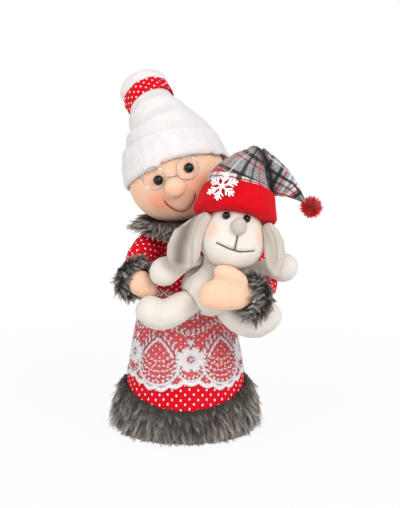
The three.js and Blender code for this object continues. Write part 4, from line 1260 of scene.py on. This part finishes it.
def shape_right(hand, points):
    points[:, 0] -= 5.0 * ramp(points[:, 0], -38, -20)
    move_points(hand, points)


def shape_left(hand, points):
    fist = ramp(points[:, 2], 169, 161)
    points[:, 0] -= 5.5 * fist * ramp(points[:, 0], 60, 40) + 1.5 * ramp(points[:, 0], 50, 62)
    points[:, 0] += 2.2 * ramp(points[:, 2], 167, 171) * ramp(points[:, 0], 44, 34)
    points[:, 2] += 1.5 * ramp(points[:, 2], 150, 136)
    move_points(hand, points)
    relax(hand, 55)
    blend = ramp(points[:, 0], 42, 50) * bell(points[:, 2] - 166, 9)
    move_points(hand, points + (points_of(hand) - points) * blend[:, None])


for side, shape in (("right", shape_right), ("left", shape_left)):
    middle, axis = CUFFS[side][:2]
    hand = stuffed(f"mitten_{side}", f"hand_{side}", voxel=1.6, rounds=12)
    out = points_of(hand) - middle
    along = out @ axis
    narrow = 0.2 * ramp(along, 16, 4)
    shape(hand, points_of(hand) - (out - np.outer(along, axis)) * narrow[:, None])
    dress_up(hand, hand_skin, [f"hand_{side}"])

# %% [markdown]
# ## Eyes and threads
# The eyes are glossy black beads pressed into the cloth. The mouths are embroidered: a thread of two
# plies, so each is a tube twisted round its own path.

# %% Beads
EYES_OF_DOG = [(-10, 19.4), (8, 19.8)]
dog_ball = Ball((44, -77.134, 203), (29, 27, 31), -10, 0.18)


def bead_finish():
    finish = Finish("black bead", gloss=0.35, roughness=0.08)
    return finish.set(base_color=finish.mix(finish.noise(3, 2), 0x010101, 0x060606))


beads = bead_finish()
FACES = (("", head_ball, EYES_OF_FIGURE, 4.6), ("dog_", dog_ball, EYES_OF_DOG, 3.5))
for prefix, ball, eyes, radius in FACES:
    for side, eye in zip(("right", "left"), eyes):
        name = f"{prefix}eye_{side}"
        bead = Ball(ball.on(*eye, radius * 0.2), (radius, radius, radius)).skin(name + "_bead", 4)
        dress_up(bead, beads, [name])
        print(name, "is", 2 * radius, "mm across")

# %% [markdown]
# The threads lie a quarter of a millimetre above the skin, in the hollow that they draw into it.

# %% Stitched mouths
PLY_PITCH, ABOVE_SKIN = 2.4, 0.25
DOG_SMILE = [(-14.9, -4.6), (-4.7, -6.7), (2, -7.8), (8.8, -8.2), (20, -6.6)]
UNDER_NOSE = [(2.6, 5), (2.3, 0), (2, -7.8)]


def plied(line, diameter):
    """Two plies twisted round a line."""
    side, up = sides_of(line)
    parts = []
    for start in (0, math.pi):
        angle = start + travel(line) * 2 * math.pi / PLY_PITCH
        ply = line + diameter * 0.24 * (np.cos(angle)[:, None] * side + np.sin(angle)[:, None] * up)
        parts.append(tube(ply, diameter * 0.31, 6))
    return joined(parts)


def stitches(name, ball, lines, count, diameter):
    laid = [rounded([ball.on(u, w, ABOVE_SKIN) for u, w in line], count) for line in lines]
    return facing_out(mesh_object(name, *joined([plied(line, diameter) for line in laid])))


def thread_finish(name, colour):
    finish = Finish(name, roughness=0.6, sheen_weight=0.2)
    paler = tuple(c * 1.5 for c in colour_of(colour)[:3]) + (1,)
    return finish.surface(finish.mix(finish.noise(1.2, 2), colour, paler), finish.noise(0.25, 2), 0.08, 0.8)


red_thread = thread_finish("red embroidery thread", 0x8E0A12)
black_thread = thread_finish("black embroidery thread", 0x070708)
smile = stitches("mouth_stitches", head_ball, [SMILE], 160, 1.1)
dress_up(smile, red_thread, ["mouth_thread"])
dog_smile = stitches("dog_mouth_stitches", dog_ball, [DOG_SMILE, UNDER_NOSE], 90, 1.0)
dress_up(dog_smile, black_thread, ["dog_mouth_thread"])
print("the smile's thread has", len(smile.data.polygons), "faces")

# %% [markdown]
# ## Spectacles
# Doll spectacles are bent from one kind of bright wire: two rims, a bridge over the nose and two
# temples that go under the cap. A tube along each line keeps the wire round at any size.

# %% Spectacles
WIRE, LENS_RADIUS, WIRE_CLEARANCE, WIRE_SIDES = 0.9, 10.4, 0.3, 10
PLANE = -(HEAD_SIZE[1] + WIRE / 2 + WIRE_CLEARANCE)
REACH = NOSE_RADIUS * 1.04 + LENS_RADIUS + WIRE / 2 + WIRE_CLEARANCE


def round_spot(u, w, radius, degrees):
    turn = math.radians(degrees)
    return u + radius * math.cos(turn), w + radius * math.sin(turn)


def rim_point(lens, degrees):
    u, w = round_spot(*lens, LENS_RADIUS, degrees)
    return head_ball.place(u, PLANE, w)


def wire_finish():
    finish = Finish("bright wire", gloss=0.5, metallic=1.0)
    wear = finish.noise(4, 3)
    return finish.set(base_color=finish.mix(wear, 0x9A9B9E, 0xD0D1D4),
                      roughness=finish.step(wear, 0.2, 0.9) * 0.15 + 0.14)


right_lens, left_lens = (round_spot(NOSE_U, NOSE_W, REACH, degrees) for degrees in (135, 36))
over_nose = head_ball.place(NOSE_U, PLANE, NOSE_W + NOSE_RADIUS + WIRE / 2 + WIRE_CLEARANCE)
lines = [rounded([rim_point(right_lens, -10), over_nose, rim_point(left_lens, 195)], 24)]
for side, lens, start in ((-1, right_lens, 165), (1, left_lens, 55)):
    lines.append([rim_point(lens, degrees) for degrees in np.linspace(0, 360, 73)])
    height, lift = lens[1] + 5, WIRE * 0.6 + WIRE_CLEARANCE
    narrow = math.sqrt(1 - (height / HEAD_SIZE[2]) ** 2)
    wide, deep = HEAD_SIZE[0] * narrow + lift, HEAD_SIZE[1] * narrow + lift
    bend = [head_ball.place(side * wide * math.sin(a), -deep * math.cos(a), height)
            for a in np.radians((52, 66))]
    lines.append(rounded([rim_point(lens, start), *bend], 30))
wires = joined([tube(line, WIRE / 2, WIRE_SIDES) for line in lines])
spectacles = facing_out(mesh_object("wire_spectacles", *wires))
dress_up(spectacles, wire_finish(), ["spectacles"])
print("the spectacles have", len(lines), "wires")

# %% [markdown]
# ## The fleece cap
# White fleece: a thick brim folded up round the head, and a crown whose end is gathered by a ribbon.
# Fleece has no weave to see, only a soft felted nap, so its bump is noise at two sizes.

# %% Fleece and the brim
BRIM_AXIS = np.array((-0.234, 0.476, 0.848))


def fleece_finish():
    finish = Finish("white fleece", roughness=0.95, sheen_weight=0.35, sheen_roughness=0.5)
    colour = finish.mix(finish.noise(14, 3) * 0.6 + finish.noise(1.6, 3) * 0.4, 0xD2CCCB, 0xECE8E7)
    nap = finish.noise(1.5, 3, roughness=0.65) + finish.noise(0.45, 2) * 0.35
    return finish.surface(colour, nap, 0.5, 0.75)


fleece = fleece_finish()
brim = stuffed("fleece_brim", "cap_brim", voxel=1.9, rounds=14)
points = points_of(brim)
low = 1 - ramp((points - head_ball.centre) @ BRIM_AXIS, -4, 16)
lapped = ramp(points[:, 0], -22.5, -25) * ramp(points[:, 1], 8, -8)
points[:, 0] += 5.0 * ramp(points[:, 0], 2, 36) ** 1.3
points -= BRIM_AXIS * (5.5 * lapped * low)[:, None]
move_points(brim, points)
thick = 0.7 + 1.0 * lapped * low**2
ruffle(brim, lambda points: thick + 0.8 * lumps(points, 15, 21) + 0.3 * lumps(points, 6, 22))
dress_up(brim, fleece, ["cap_brim"])

# %% [markdown]
# The crown leans back and to one side. The ribbon pinches it, the fleece past the ribbon puffs out, and
# folds run out from the ribbon to both sides and fade.

# %% The crown and its gathers
TIP_AXIS = direction(-0.33, 0.7, 0.625)
RIBBON_MIDDLE = head_ball.centre + (-25.8, 38, 67.2) + TIP_AXIS * 2.5
HALF_RIBBON = 9
SLOPE_HEIGHTS, SLOPE_SHIFTS = (290, 297, 308, 321, 331), (6.5, 3.0, -7.0, -12.0, -3.0)


def gathers(points):
    out = points - RIBBON_MIDDLE
    along = out @ TIP_AXIS
    right, up = square_to(TIP_AXIS)
    angle = np.arctan2(out @ up, out @ right)
    radius = np.linalg.norm(out - np.outer(along, TIP_AXIS), axis=1)
    past_ribbon = ramp(np.abs(along), HALF_RIBBON, HALF_RIBBON + 4)
    close = past_ribbon * bell(np.abs(along) - HALF_RIBBON, 8) * (radius > HALF_RIBBON)
    folds = np.sin(angle * 9 + 2.2 * np.sin(angle * 3 + along * 0.05))
    return 0.7 * close * folds + past_ribbon * (0.5 * lumps(points, 17, 24) + 0.2 * lumps(points, 6, 25))


crown = stuffed("fleece_crown", "cap_crown", voxel=2.2, rounds=30)
points = points_of(crown)
along = (points - RIBBON_MIDDLE) @ TIP_AXIS
points -= (points - RIBBON_MIDDLE - np.outer(along, TIP_AXIS)) * (0.08 * bell(along, 15))[:, None]
points += np.outer(6.0 * ramp(along, 5, 15), TIP_AXIS)
points[:, 0] -= 2.2 * bell(points[:, 2] - 288, 8) * ramp(points[:, 0], -25, -33)
shifts = sum(np.interp(points[:, 2] + step, SLOPE_HEIGHTS, SLOPE_SHIFTS) for step in (-6, -3, 0, 3, 6)) / 5
points[:, 0] += shifts * ramp(points[:, 0], -8, 12)
move_points(crown, points)
ruffle(crown, gathers)
dress_up(crown, fleece, ["cap_crown"])

# %% [markdown]
# The ribbon is a band of the pin-dot cotton. It is tied a little askew, with shallow creases, and its
# edges turn in.

# %% The ribbon
RIBBON_AXIS = direction(-0.42, 0.7, 0.625)
RIBBON_WIDTH, RIBBON_RADIUS, RIBBON_THICKNESS, RIBBON_SHIFT = 15, 22.6, 0.8, 1.2
RIBBON_SIDES, RIBBON_ROWS = 150, 14


def ribbon_rings():
    right, up = square_to(RIBBON_AXIS)
    angles = np.arange(RIBBON_SIDES) * 2 * np.pi / RIBBON_SIDES
    spoke = np.outer(np.cos(angles), right) + np.outer(np.sin(angles), up)
    heights = np.linspace(-1, 1, RIBBON_ROWS)
    for layer, order in ((RIBBON_THICKNESS, heights), (0, heights[::-1])):
        for height in order:
            crease = 0.35 * np.sin(angles * 9 + height * 1.4) + 0.25 * np.sin(angles * 23 + height * 3)
            wide = RIBBON_RADIUS + layer - 0.5 * height**4 + crease
            middle = RIBBON_MIDDLE + RIBBON_AXIS * (height * RIBBON_WIDTH / 2 + RIBBON_SHIFT)
            yield middle + spoke * wide[:, None]


ribbon = facing_out(closed_sheet("dotted_ribbon", list(ribbon_rings())))
wrap(ribbon, [RIBBON_MIDDLE - TIP_AXIS * 20, RIBBON_MIDDLE + TIP_AXIS * 20], (0, 1, 0), 23)
dress_up(ribbon, cotton, ["cap_ribbon"])
print("the ribbon has", len(ribbon.data.polygons), "faces")

# %% [markdown]
# ## The dog
# Body, head, arms and legs are stuffed plush with a short nap. Every limb is a soft copy of its solid,
# and the limbs that bend ride on their own bodies.

# %% Plush
def plush_finish(name, dark, light, blush=(), folds=None):
    finish = Finish(name, roughness=0.95, sheen_weight=0.2, sheen_roughness=0.5)
    shade = finish.noise(12, 3) * 0.5 + finish.noise(PLUSH_NAP * 1.5, 3) * 0.5
    colour = finish.blush(finish.mix(shade, dark, light), blush, 0.1)
    # folds is a darker colour painted into the ears' creases as painted shade.
    if folds is not None:
        colour = finish.mix(finish.attribute("fold"), colour, folds)
    return finish.surface(colour, finish.noise(PLUSH_NAP, 3, roughness=0.7), 0.45, 0.8)


PLUSH_NAP = 0.9
BLUSH = (12, 0.5, 0xF2AE86)
plush = plush_finish("plush", 0xCFC8BE, 0xECE6DE)
cheek_plush = plush_finish("plush with blush", 0xD2CBC1, 0xF1EBE3, [
    (dog_ball.on(-21.5, 4.6), *BLUSH), (dog_ball.on(23.5, 5.2), *BLUSH)])
# 0x6E6359 is painted shade for the creases of the ears.
ear_plush = plush_finish("grey plush", 0xAEA499, 0xD6CCC2, folds=0x6E6359)
print("made", plush.name + ",", cheek_plush.name, "and", ear_plush.name)

# %% [markdown]
# The head is a ball that narrows upwards, with the same hollows for eyes and threads as the figure's.

# %% Body, head, nose and limbs
def muzzle(local):
    u, v, w = local.T
    swell = -0.8 * sum(hollow(u, w, eye, 14) for eye in EYES_OF_DOG)
    for line in (DOG_SMILE, UNDER_NOSE):
        swell -= 0.9 * drawn_in(u, w, line, 1.8)
    return swell * (v < 0)


dog_body = stuffed("dog_body_plush", "dog_body", voxel=2.0, rounds=10)
ruffle(dog_body, lambda points: 0.6 * lumps(points, 14, 31))
dress_up(dog_body, plush, ["dog_body"])
dog_head = dog_ball.skin("dog_head_plush", 7, muzzle)
dress_up(dog_head, cheek_plush, ["dog_head"])
dog_nose = Ball(dog_ball.on(2, 13.0, 2.49), (7.1, 7.2, 8.1), taper=0.1).skin("dog_nose_plush", 5)
dress_up(dog_nose, ear_plush, ["dog_nose"])
for limb in ("arm_right", "arm_left", "leg_right", "leg_left"):
    piece = stuffed(f"dog_{limb}_plush", f"dog_{limb}", voxel=1.8, rounds=10)
    if limb == "arm_right":
        points = points_of(piece)
        points[:, 2] += 8.0 * ramp(points[:, 0], -12, 8) * ramp(points[:, 2], 176, 162)
        move_points(piece, points)
    ruffle(piece, lambda points: 0.5 * lumps(points, 10, 33))
    dress_up(piece, plush, [f"dog_{limb}"], body=f"dog_{limb}_body")

# %% [markdown]
# ## The ears
# Each ear is a flat pouch of grey plush that is folded lengthwise where it is sewn under the cap, so it
# hangs in lobes. A fold is a line down the ear: the plush near it sinks in, more the closer it is, and
# shade is painted into its colour there.

# %% Ears
FOLDS = {
    "right": [([(2, 210), (0.2, 206.6), (-1.6, 197.5), (-1.6, 188.4), (-3, 172)], 2.4, 3.0),
              ([(-1, 204), (-4, 195), (-5, 180)], 6.0, 5.5),
              ([(25.5, 234.7), (11.3, 215.7), (8.2, 206.6), (6.9, 197.5), (6.6, 188.4), (5.9, 172)],
               1.2, 1.5)],
    "left": [([(69.3, 226.7), (75.7, 212.2), (80.5, 203.1), (82.1, 193.9), (81.9, 172)], 1.3, 1.5),
             ([(72, 208), (77, 196), (78.5, 184)], 3.5, 1.3)],
}
EAR_END, FADE_ABOVE, DARKEST_DEPTH = 173, 9, 6.5


def fold(piece, lines):
    """Sinks the plush into creases along lines in the x-z plane, each with a width and a depth, and marks
    painted shade in them.
    """
    points = points_of(piece)
    depth = np.max([most * bell(from_line(points, line), width) for line, width, most in lines], axis=0)
    depth *= ramp(points[:, 2], EAR_END, EAR_END + FADE_ABOVE) * np.clip(-normals_of(piece)[:, 1] * 2, 0, 1)
    # Painted shade: how dark the crease is painted, darkest at DARKEST_DEPTH millimetres deep.
    mark(piece, "fold", np.clip(depth / DARKEST_DEPTH, 0, 1))
    move_points(piece, points + np.outer(depth, (0, 1, 0)))


for side in ("right", "left"):
    piece = stuffed(f"dog_ear_{side}_plush", f"dog_ear_{side}", voxel=1.1, rounds=18)
    fold(piece, FOLDS[side])
    ruffle(piece, lambda points: 0.4 * lumps(points, 9, 35))
    dress_up(piece, ear_plush, [f"dog_ear_{side}"], body=f"dog_ear_{side}_body")

# %% [markdown]
# ## The dog's cap
# A red felt band holds a cap of brushed plaid. The plaid is woven, so the cap's cloth coordinates carry
# it: bands and thin lines that cross, in grey, black, white and red. The white lines up the cap are
# broken into checks.

# %% Plaid and felt
PLAID_UP, PLAID_ROUND, CHECK, STRIPE_BLUR = 58.0, 44.0, 2.8, 0.35
BLACK, RED, WHITE = 0x131315, 0xB80A1A, 0xEDECEC
STRIPES_UP = [(23.2, 2.4, WHITE, 0.9), (25.2, 1.0, RED, 0.85), (27.6, 3.2, WHITE, 0.9),
              (30.0, 1.4, RED, 0.92), (33.2, 3.2, BLACK, 0.93), (47, 1.4, RED, 0.9), (53, 3.4, BLACK, 0.88),
              (7, 3.6, BLACK, 0.9), (12.5, 1.6, RED, 0.9), (17.5, 2.4, WHITE, 0.7)]
STRIPES_ROUND = [(4, 4.8, BLACK, 0.88), (16, 1.6, WHITE, 0.5), (27, 2.0, RED, 0.9), (37, 3.2, BLACK, 0.65)]


def plaid_finish():
    finish = Finish("brushed plaid", roughness=0.9, sheen_weight=0.3)
    u, v = finish.cloth()
    wool = finish.step(finish.noise(0.9, 4, roughness=0.7), 0.35, 0.65)
    colour = finish.mix(wool, 0x5C5B5D, 0xB4B3B3)
    checks = finish.maths("ABSOLUTE", finish.maths("FRACT", u / CHECK) - 0.5)
    broken = 0.45 + 0.55 * finish.step(checks, 0.2, 0.3)
    for along, length, stripes in ((v, PLAID_UP, STRIPES_UP), (u, PLAID_ROUND, STRIPES_ROUND)):
        place = finish.maths("FRACT", along / length) * length
        for middle, width, tone, strength in stripes:
            away = finish.maths("ABSOLUTE", place - middle)
            shown = (1.0 - finish.step(away, width / 2 - STRIPE_BLUR, width / 2 + STRIPE_BLUR)) * strength
            if tone == WHITE and along is v:
                shown = shown * broken
            colour = finish.mix(shown, colour, tone)
    # Painted shade: near black in the crease where the cap's end turns down.
    colour = finish.mix(finish.attribute("fold"), colour, 0x121213)
    return finish.surface(colour, finish.noise(0.8, 3) + weave(finish, 1.2) * 0.3, 0.35, 0.7)


def felt_finish(name, dark, light):
    finish = Finish(name, roughness=0.95, sheen_weight=0.05)
    fibres = finish.noise(0.7, 4, roughness=0.7, stretch=(1.0, 1.0, 2.5))
    colour = finish.mix(finish.noise(8, 4) * 0.5 + fibres * 0.5, dark, light)
    return finish.surface(colour, fibres, 0.3, 0.7)


plaid = plaid_finish()
red_felt = felt_finish("red felt", 0xAE000C, 0xE6081C)
print("the plaid has", len(STRIPES_UP) + len(STRIPES_ROUND), "stripes")

# %% [markdown]
# The crown leans towards its peak, where the end folds over and hangs down. Shade is painted into the
# crease of that fold, and the cloth bulges over it.

# %% The cap's crown, band and end
DOG_HEAD = dog_ball.centre
CROWN_PATH = DOG_HEAD + [(4.5, 13, 20), (4.5, 13, 35), (7.7, 18, 49), (14, 20, 62.5), (20, 21, 71.5)]
END_PATH = DOG_HEAD + [(33.5, 18, 55), (53.5, 18, 43.5), (65, 16, 29.5)]
CAP_CREASE = [(66.5, 281), (71, 276), (74, 269), (76.6, 260), (78.5, 250), (80, 238)]
FRONT_OF_CAP, FOLD_REACH = -50, 34


def shade_fold(piece):
    """Marks the cloth close to the crease where the cap's end turns down, for painted shade."""
    points = points_of(piece)
    mark(piece, "fold", bell(from_line(points, CAP_CREASE), 4.0) * (points[:, 1] < FRONT_OF_CAP))


cap = stuffed("plaid_crown", "dog_cap_crown", voxel=1.7, rounds=8)
peak = ramp(points_of(cap)[:, 2], 246, 260) * np.clip(normals_of(cap) @ (0.86, 0.0, 0.5), 0, 1)
ruffle(cap, lambda points: 2.6 * peak + 0.8 * lumps(points, 11, 41))
wrap(cap, CROWN_PATH, (0, 1, 0), 26)
shade_fold(cap)
dress_up(cap, plaid, ["dog_cap_crown"])
band = stuffed("felt_band", "dog_cap_band", voxel=1.6, rounds=4)
ruffle(band, lambda points: 0.4 * lumps(points, 12, 43))
dress_up(band, red_felt, ["dog_cap_band"])
end = stuffed("plaid_tail", "dog_cap_tail", voxel=1.2, rounds=12)
points, root = points_of(end), END_PATH[0]
near_fold = np.linalg.norm(points - root, axis=1) < FOLD_REACH
facing_back = np.clip(-(normals_of(end) @ direction(0.86, 0, -0.5)), 0, 1)
lower = np.clip((root[2] + 6 - points[:, 2]) / 10, 0.15, 1)
ruffle(end, lambda points: 3.6 * facing_back * near_fold * lower + 0.5 * lumps(points, 9, 44))
wrap(end, END_PATH, (0, 1, 0), 14)
shade_fold(end)
dress_up(end, plaid, ["dog_cap_tail"], body="dog_cap_tail_body")

# %% [markdown]
# ## Pompom
# A pompom is a bundle of cut yarn. The fur tree makes it too: short, thick strands that stand straight
# out of a small ball, with only slight locks.

# %% Pompom
YARN = (900, 260, 8.6, 0.5, 0.2, 0.12)


def yarn_finish():
    finish = Finish("red yarn", roughness=0.85, sheen_weight=0.3)
    # Painted shade: the yarn is darker towards its roots, and the tint of each strand changes at random.
    shade = finish.attribute("tip") * 0.7 + finish.attribute("tint") * 0.3
    return finish.set(base_color=finish.mix(shade, 0x8A0006, 0xF80414))


yarn = yarn_finish()
pompom_middle = np.array(sum((Vector(c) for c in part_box("pompom")), Vector()) / 2) / MM
# The core takes the yarn's darkest colour as painted shade in the middle of the bundle.
core = Ball(pompom_middle, (4.5, 4.5, 4.5)).skin("pompom_core", 4)
strands = grow("pompom_yarn", core, lambda points, normals: normals * 0.6, YARN, yarn, 51, GUARD_POINTS,
               "dog_cap_tail_body")
dress_up(core, yarn, ["pompom"], body="dog_cap_tail_body")

# %% [markdown]
# ## The snowflake
# Six equal arms are cut from white felt, each with two pairs of short branches, and glued to the band.
# The flat shape is bent round the band.

# %% Cut the snowflake
ARM_LENGTH, ARM_WIDTH, BRANCH_WIDTH = 14.2, 1.5, 1.35
BRANCHES = ((5.8, 5.2), (9.8, 3.8))
FELT_TOP, FELT_UNDER, BAND_CURVE = 1.25, 0.4, 76


def bar(start, end, width):
    """A flat bar with rounded ends, as a list of points in the plane."""
    start, end = np.array(start, float), np.array(end, float)
    ahead = direction(*(end - start))
    side = np.array((-ahead[1], ahead[0]))
    return [centre + width / 2 * (ahead * math.cos(a) + side * math.sin(a))
            for centre, first in ((end, -90), (start, 90))
            for a in np.radians(np.linspace(first, first + 180, 7))]


def arm_bars(number):
    """The bars of one arm: its stem and its pairs of branches, turned to its place."""
    a = math.radians(number * 60)
    spin = np.array([[math.cos(a), math.sin(a)], [-math.sin(a), math.cos(a)]])
    bars = [((0, 0), (0, ARM_LENGTH), ARM_WIDTH)]
    for height, length in BRANCHES:
        reach = length * 0.7
        bars += [((0, height), (side * reach, height + reach), BRANCH_WIDTH) for side in (-1, 1)]
    return [[point @ spin for point in bar(*details)] for details in bars]


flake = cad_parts["snowflake"].data
flat_points = np.array([v.co for v in flake.vertices]) / MM
middle = (flat_points.min(0) + flat_points.max(0)) / 2 + (1.1, 0.0, 1.8)
out = np.linalg.svd(flat_points - flat_points.mean(0))[2][2]
out = out if out[1] < 0 else -out
sideways = direction(*np.cross((0, 0, 1.0), -out))
upward = np.cross(sideways, -out)
upward *= np.sign(upward[2])
parts = []
for number, outline in enumerate(outline for arm in range(6) for outline in arm_bars(arm)):
    count = len(outline)
    top = FELT_TOP - 0.004 * (number % 5)
    rim = np.array([middle + sideways * x + upward * y - out * (x * x / BAND_CURVE) for x, y in outline])
    faces = [tuple(range(count))[::-1], tuple(range(count, 2 * count))]
    faces += [(i, (i + 1) % count, count + (i + 1) % count, count + i) for i in range(count)]
    parts.append((np.concatenate([rim - out * FELT_UNDER, rim + out * top]), faces))
snowflake = facing_out(mesh_object("felt_snowflake", *joined(parts)))
snowflake.data.shade_flat()
dress_up(snowflake, felt_finish("white felt", 0xECECEE, 0xFFFFFF), ["snowflake"])
print("the snowflake is cut from", len(parts), "bars")

# %% [markdown]
# ## What stays as it is
# The board, ballast, card and wadding are inside. They keep their solids and get a finish of their own.

# %% Finishes for the solids that stay
INSIDE = {
    "base_board": ("fibreboard", 0x9C8258, 0xC6AE84, 3, 0.6),
    "ballast_bag": ("ballast bag", 0xC3BBA4, 0xE0D9C6, 5, 0.7),
    "cone_core": ("card", 0xAC9468, 0xC9B48C, 12, 0.5),
    "body_padding": ("wadding", 0xE8E8E4, 0xF8F8F6, 6, 1.5),
}
for node, (name, dark, light, size, grain) in INSIDE.items():
    finish = Finish(name, roughness=0.9)
    colour = finish.mix(finish.noise(size, 4), dark, light)
    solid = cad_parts[node].data
    solid.materials.clear()
    solid.materials.append(finish.surface(colour, finish.noise(grain, 3), 0.15, 0.6))
print("gave finishes to", ", ".join(INSIDE))

# %% [markdown]
# ## Floor and light
# The photograph has a white ground with a faint shadow at the foot. The floor is white to the camera,
# and only its shadow shows. A large soft lamp from the upper right, a weaker one from the left and a
# pale surround light the figure evenly.

# %% Floor
FLOOR_REACH, SHADOW_ENDS, FLOOR_ENDS = 3000, 150, 500
DIMMEST_FLOOR = 0.91


def white_to_camera(recipe):
    """1 for rays that see the surface straight, in a mirror or through glass."""
    camera_ray, glossy, through = recipe.node(
        "ShaderNodeLightPath", output=("Is Camera Ray", "Is Glossy Ray", "Is Transmission Ray"))
    return recipe.maths("MINIMUM", camera_ray + glossy + through, 1.0)


corners = [(x * FLOOR_REACH, y * FLOOR_REACH, 0) for x, y in ((-1, -1), (1, -1), (1, 1), (-1, 1))]
floor = mesh_object("floor", corners, [(0, 1, 2, 3)])
ground = Finish("white ground", roughness=1.0, base_color=(0.8, 0.8, 0.8, 1))
glow = ground.node("ShaderNodeEmission", inputs={"Color": (1, 1, 1, 1), "Strength": 1.0})
away = ground.step(ground.away_from((0, 0, 0)), SHADOW_ENDS, FLOOR_ENDS)
share = white_to_camera(ground) * (DIMMEST_FLOOR + (1 - DIMMEST_FLOOR) * away)
matt = Value(ground, ground.shader.outputs[0])
shown = ground.node("ShaderNodeMixShader", {}, {0: share, 1: matt, 2: glow})
ground.feed(ground.tree.nodes["Material Output"].inputs["Surface"], shown)
floor.data.materials.append(ground.material)
print("the floor is", 2 * FLOOR_REACH * MM, "m wide")

# %% [markdown]
# The lamps are large, because a small one would throw hard shadows that the photograph doesn't have.

# %% Light
SURROUND = 0.69
AIM = (0, 0, 0.18)


def soft_lamp(name, place, width, watts):
    lamp = bpy.data.objects.new(name, bpy.data.lights.new(name, "AREA"))
    bpy.context.scene.collection.objects.link(lamp)
    lamp.data.size, lamp.data.energy = width, watts
    lamp.location = place
    lamp.rotation_euler = (Vector(AIM) - Vector(place)).to_track_quat("-Z", "Y").to_euler()
    print(name, "lamp of", watts, "W")


world = bpy.data.worlds.new("studio")
bpy.context.scene.world = world
world.use_nodes = True
sky = Recipe(world.node_tree)
background = world.node_tree.nodes["Background"]
background.inputs["Color"].default_value = (1, 1, 1, 1)
sky.feed(background.inputs["Strength"], SURROUND + (1 - SURROUND) * white_to_camera(sky))
soft_lamp("key", (0.75, -1.25, 1.15), 0.8, 16.2)
soft_lamp("fill", (-1.3, -0.9, 0.7), 1.2, 8)
bpy.context.scene.view_settings.view_transform = "Standard"
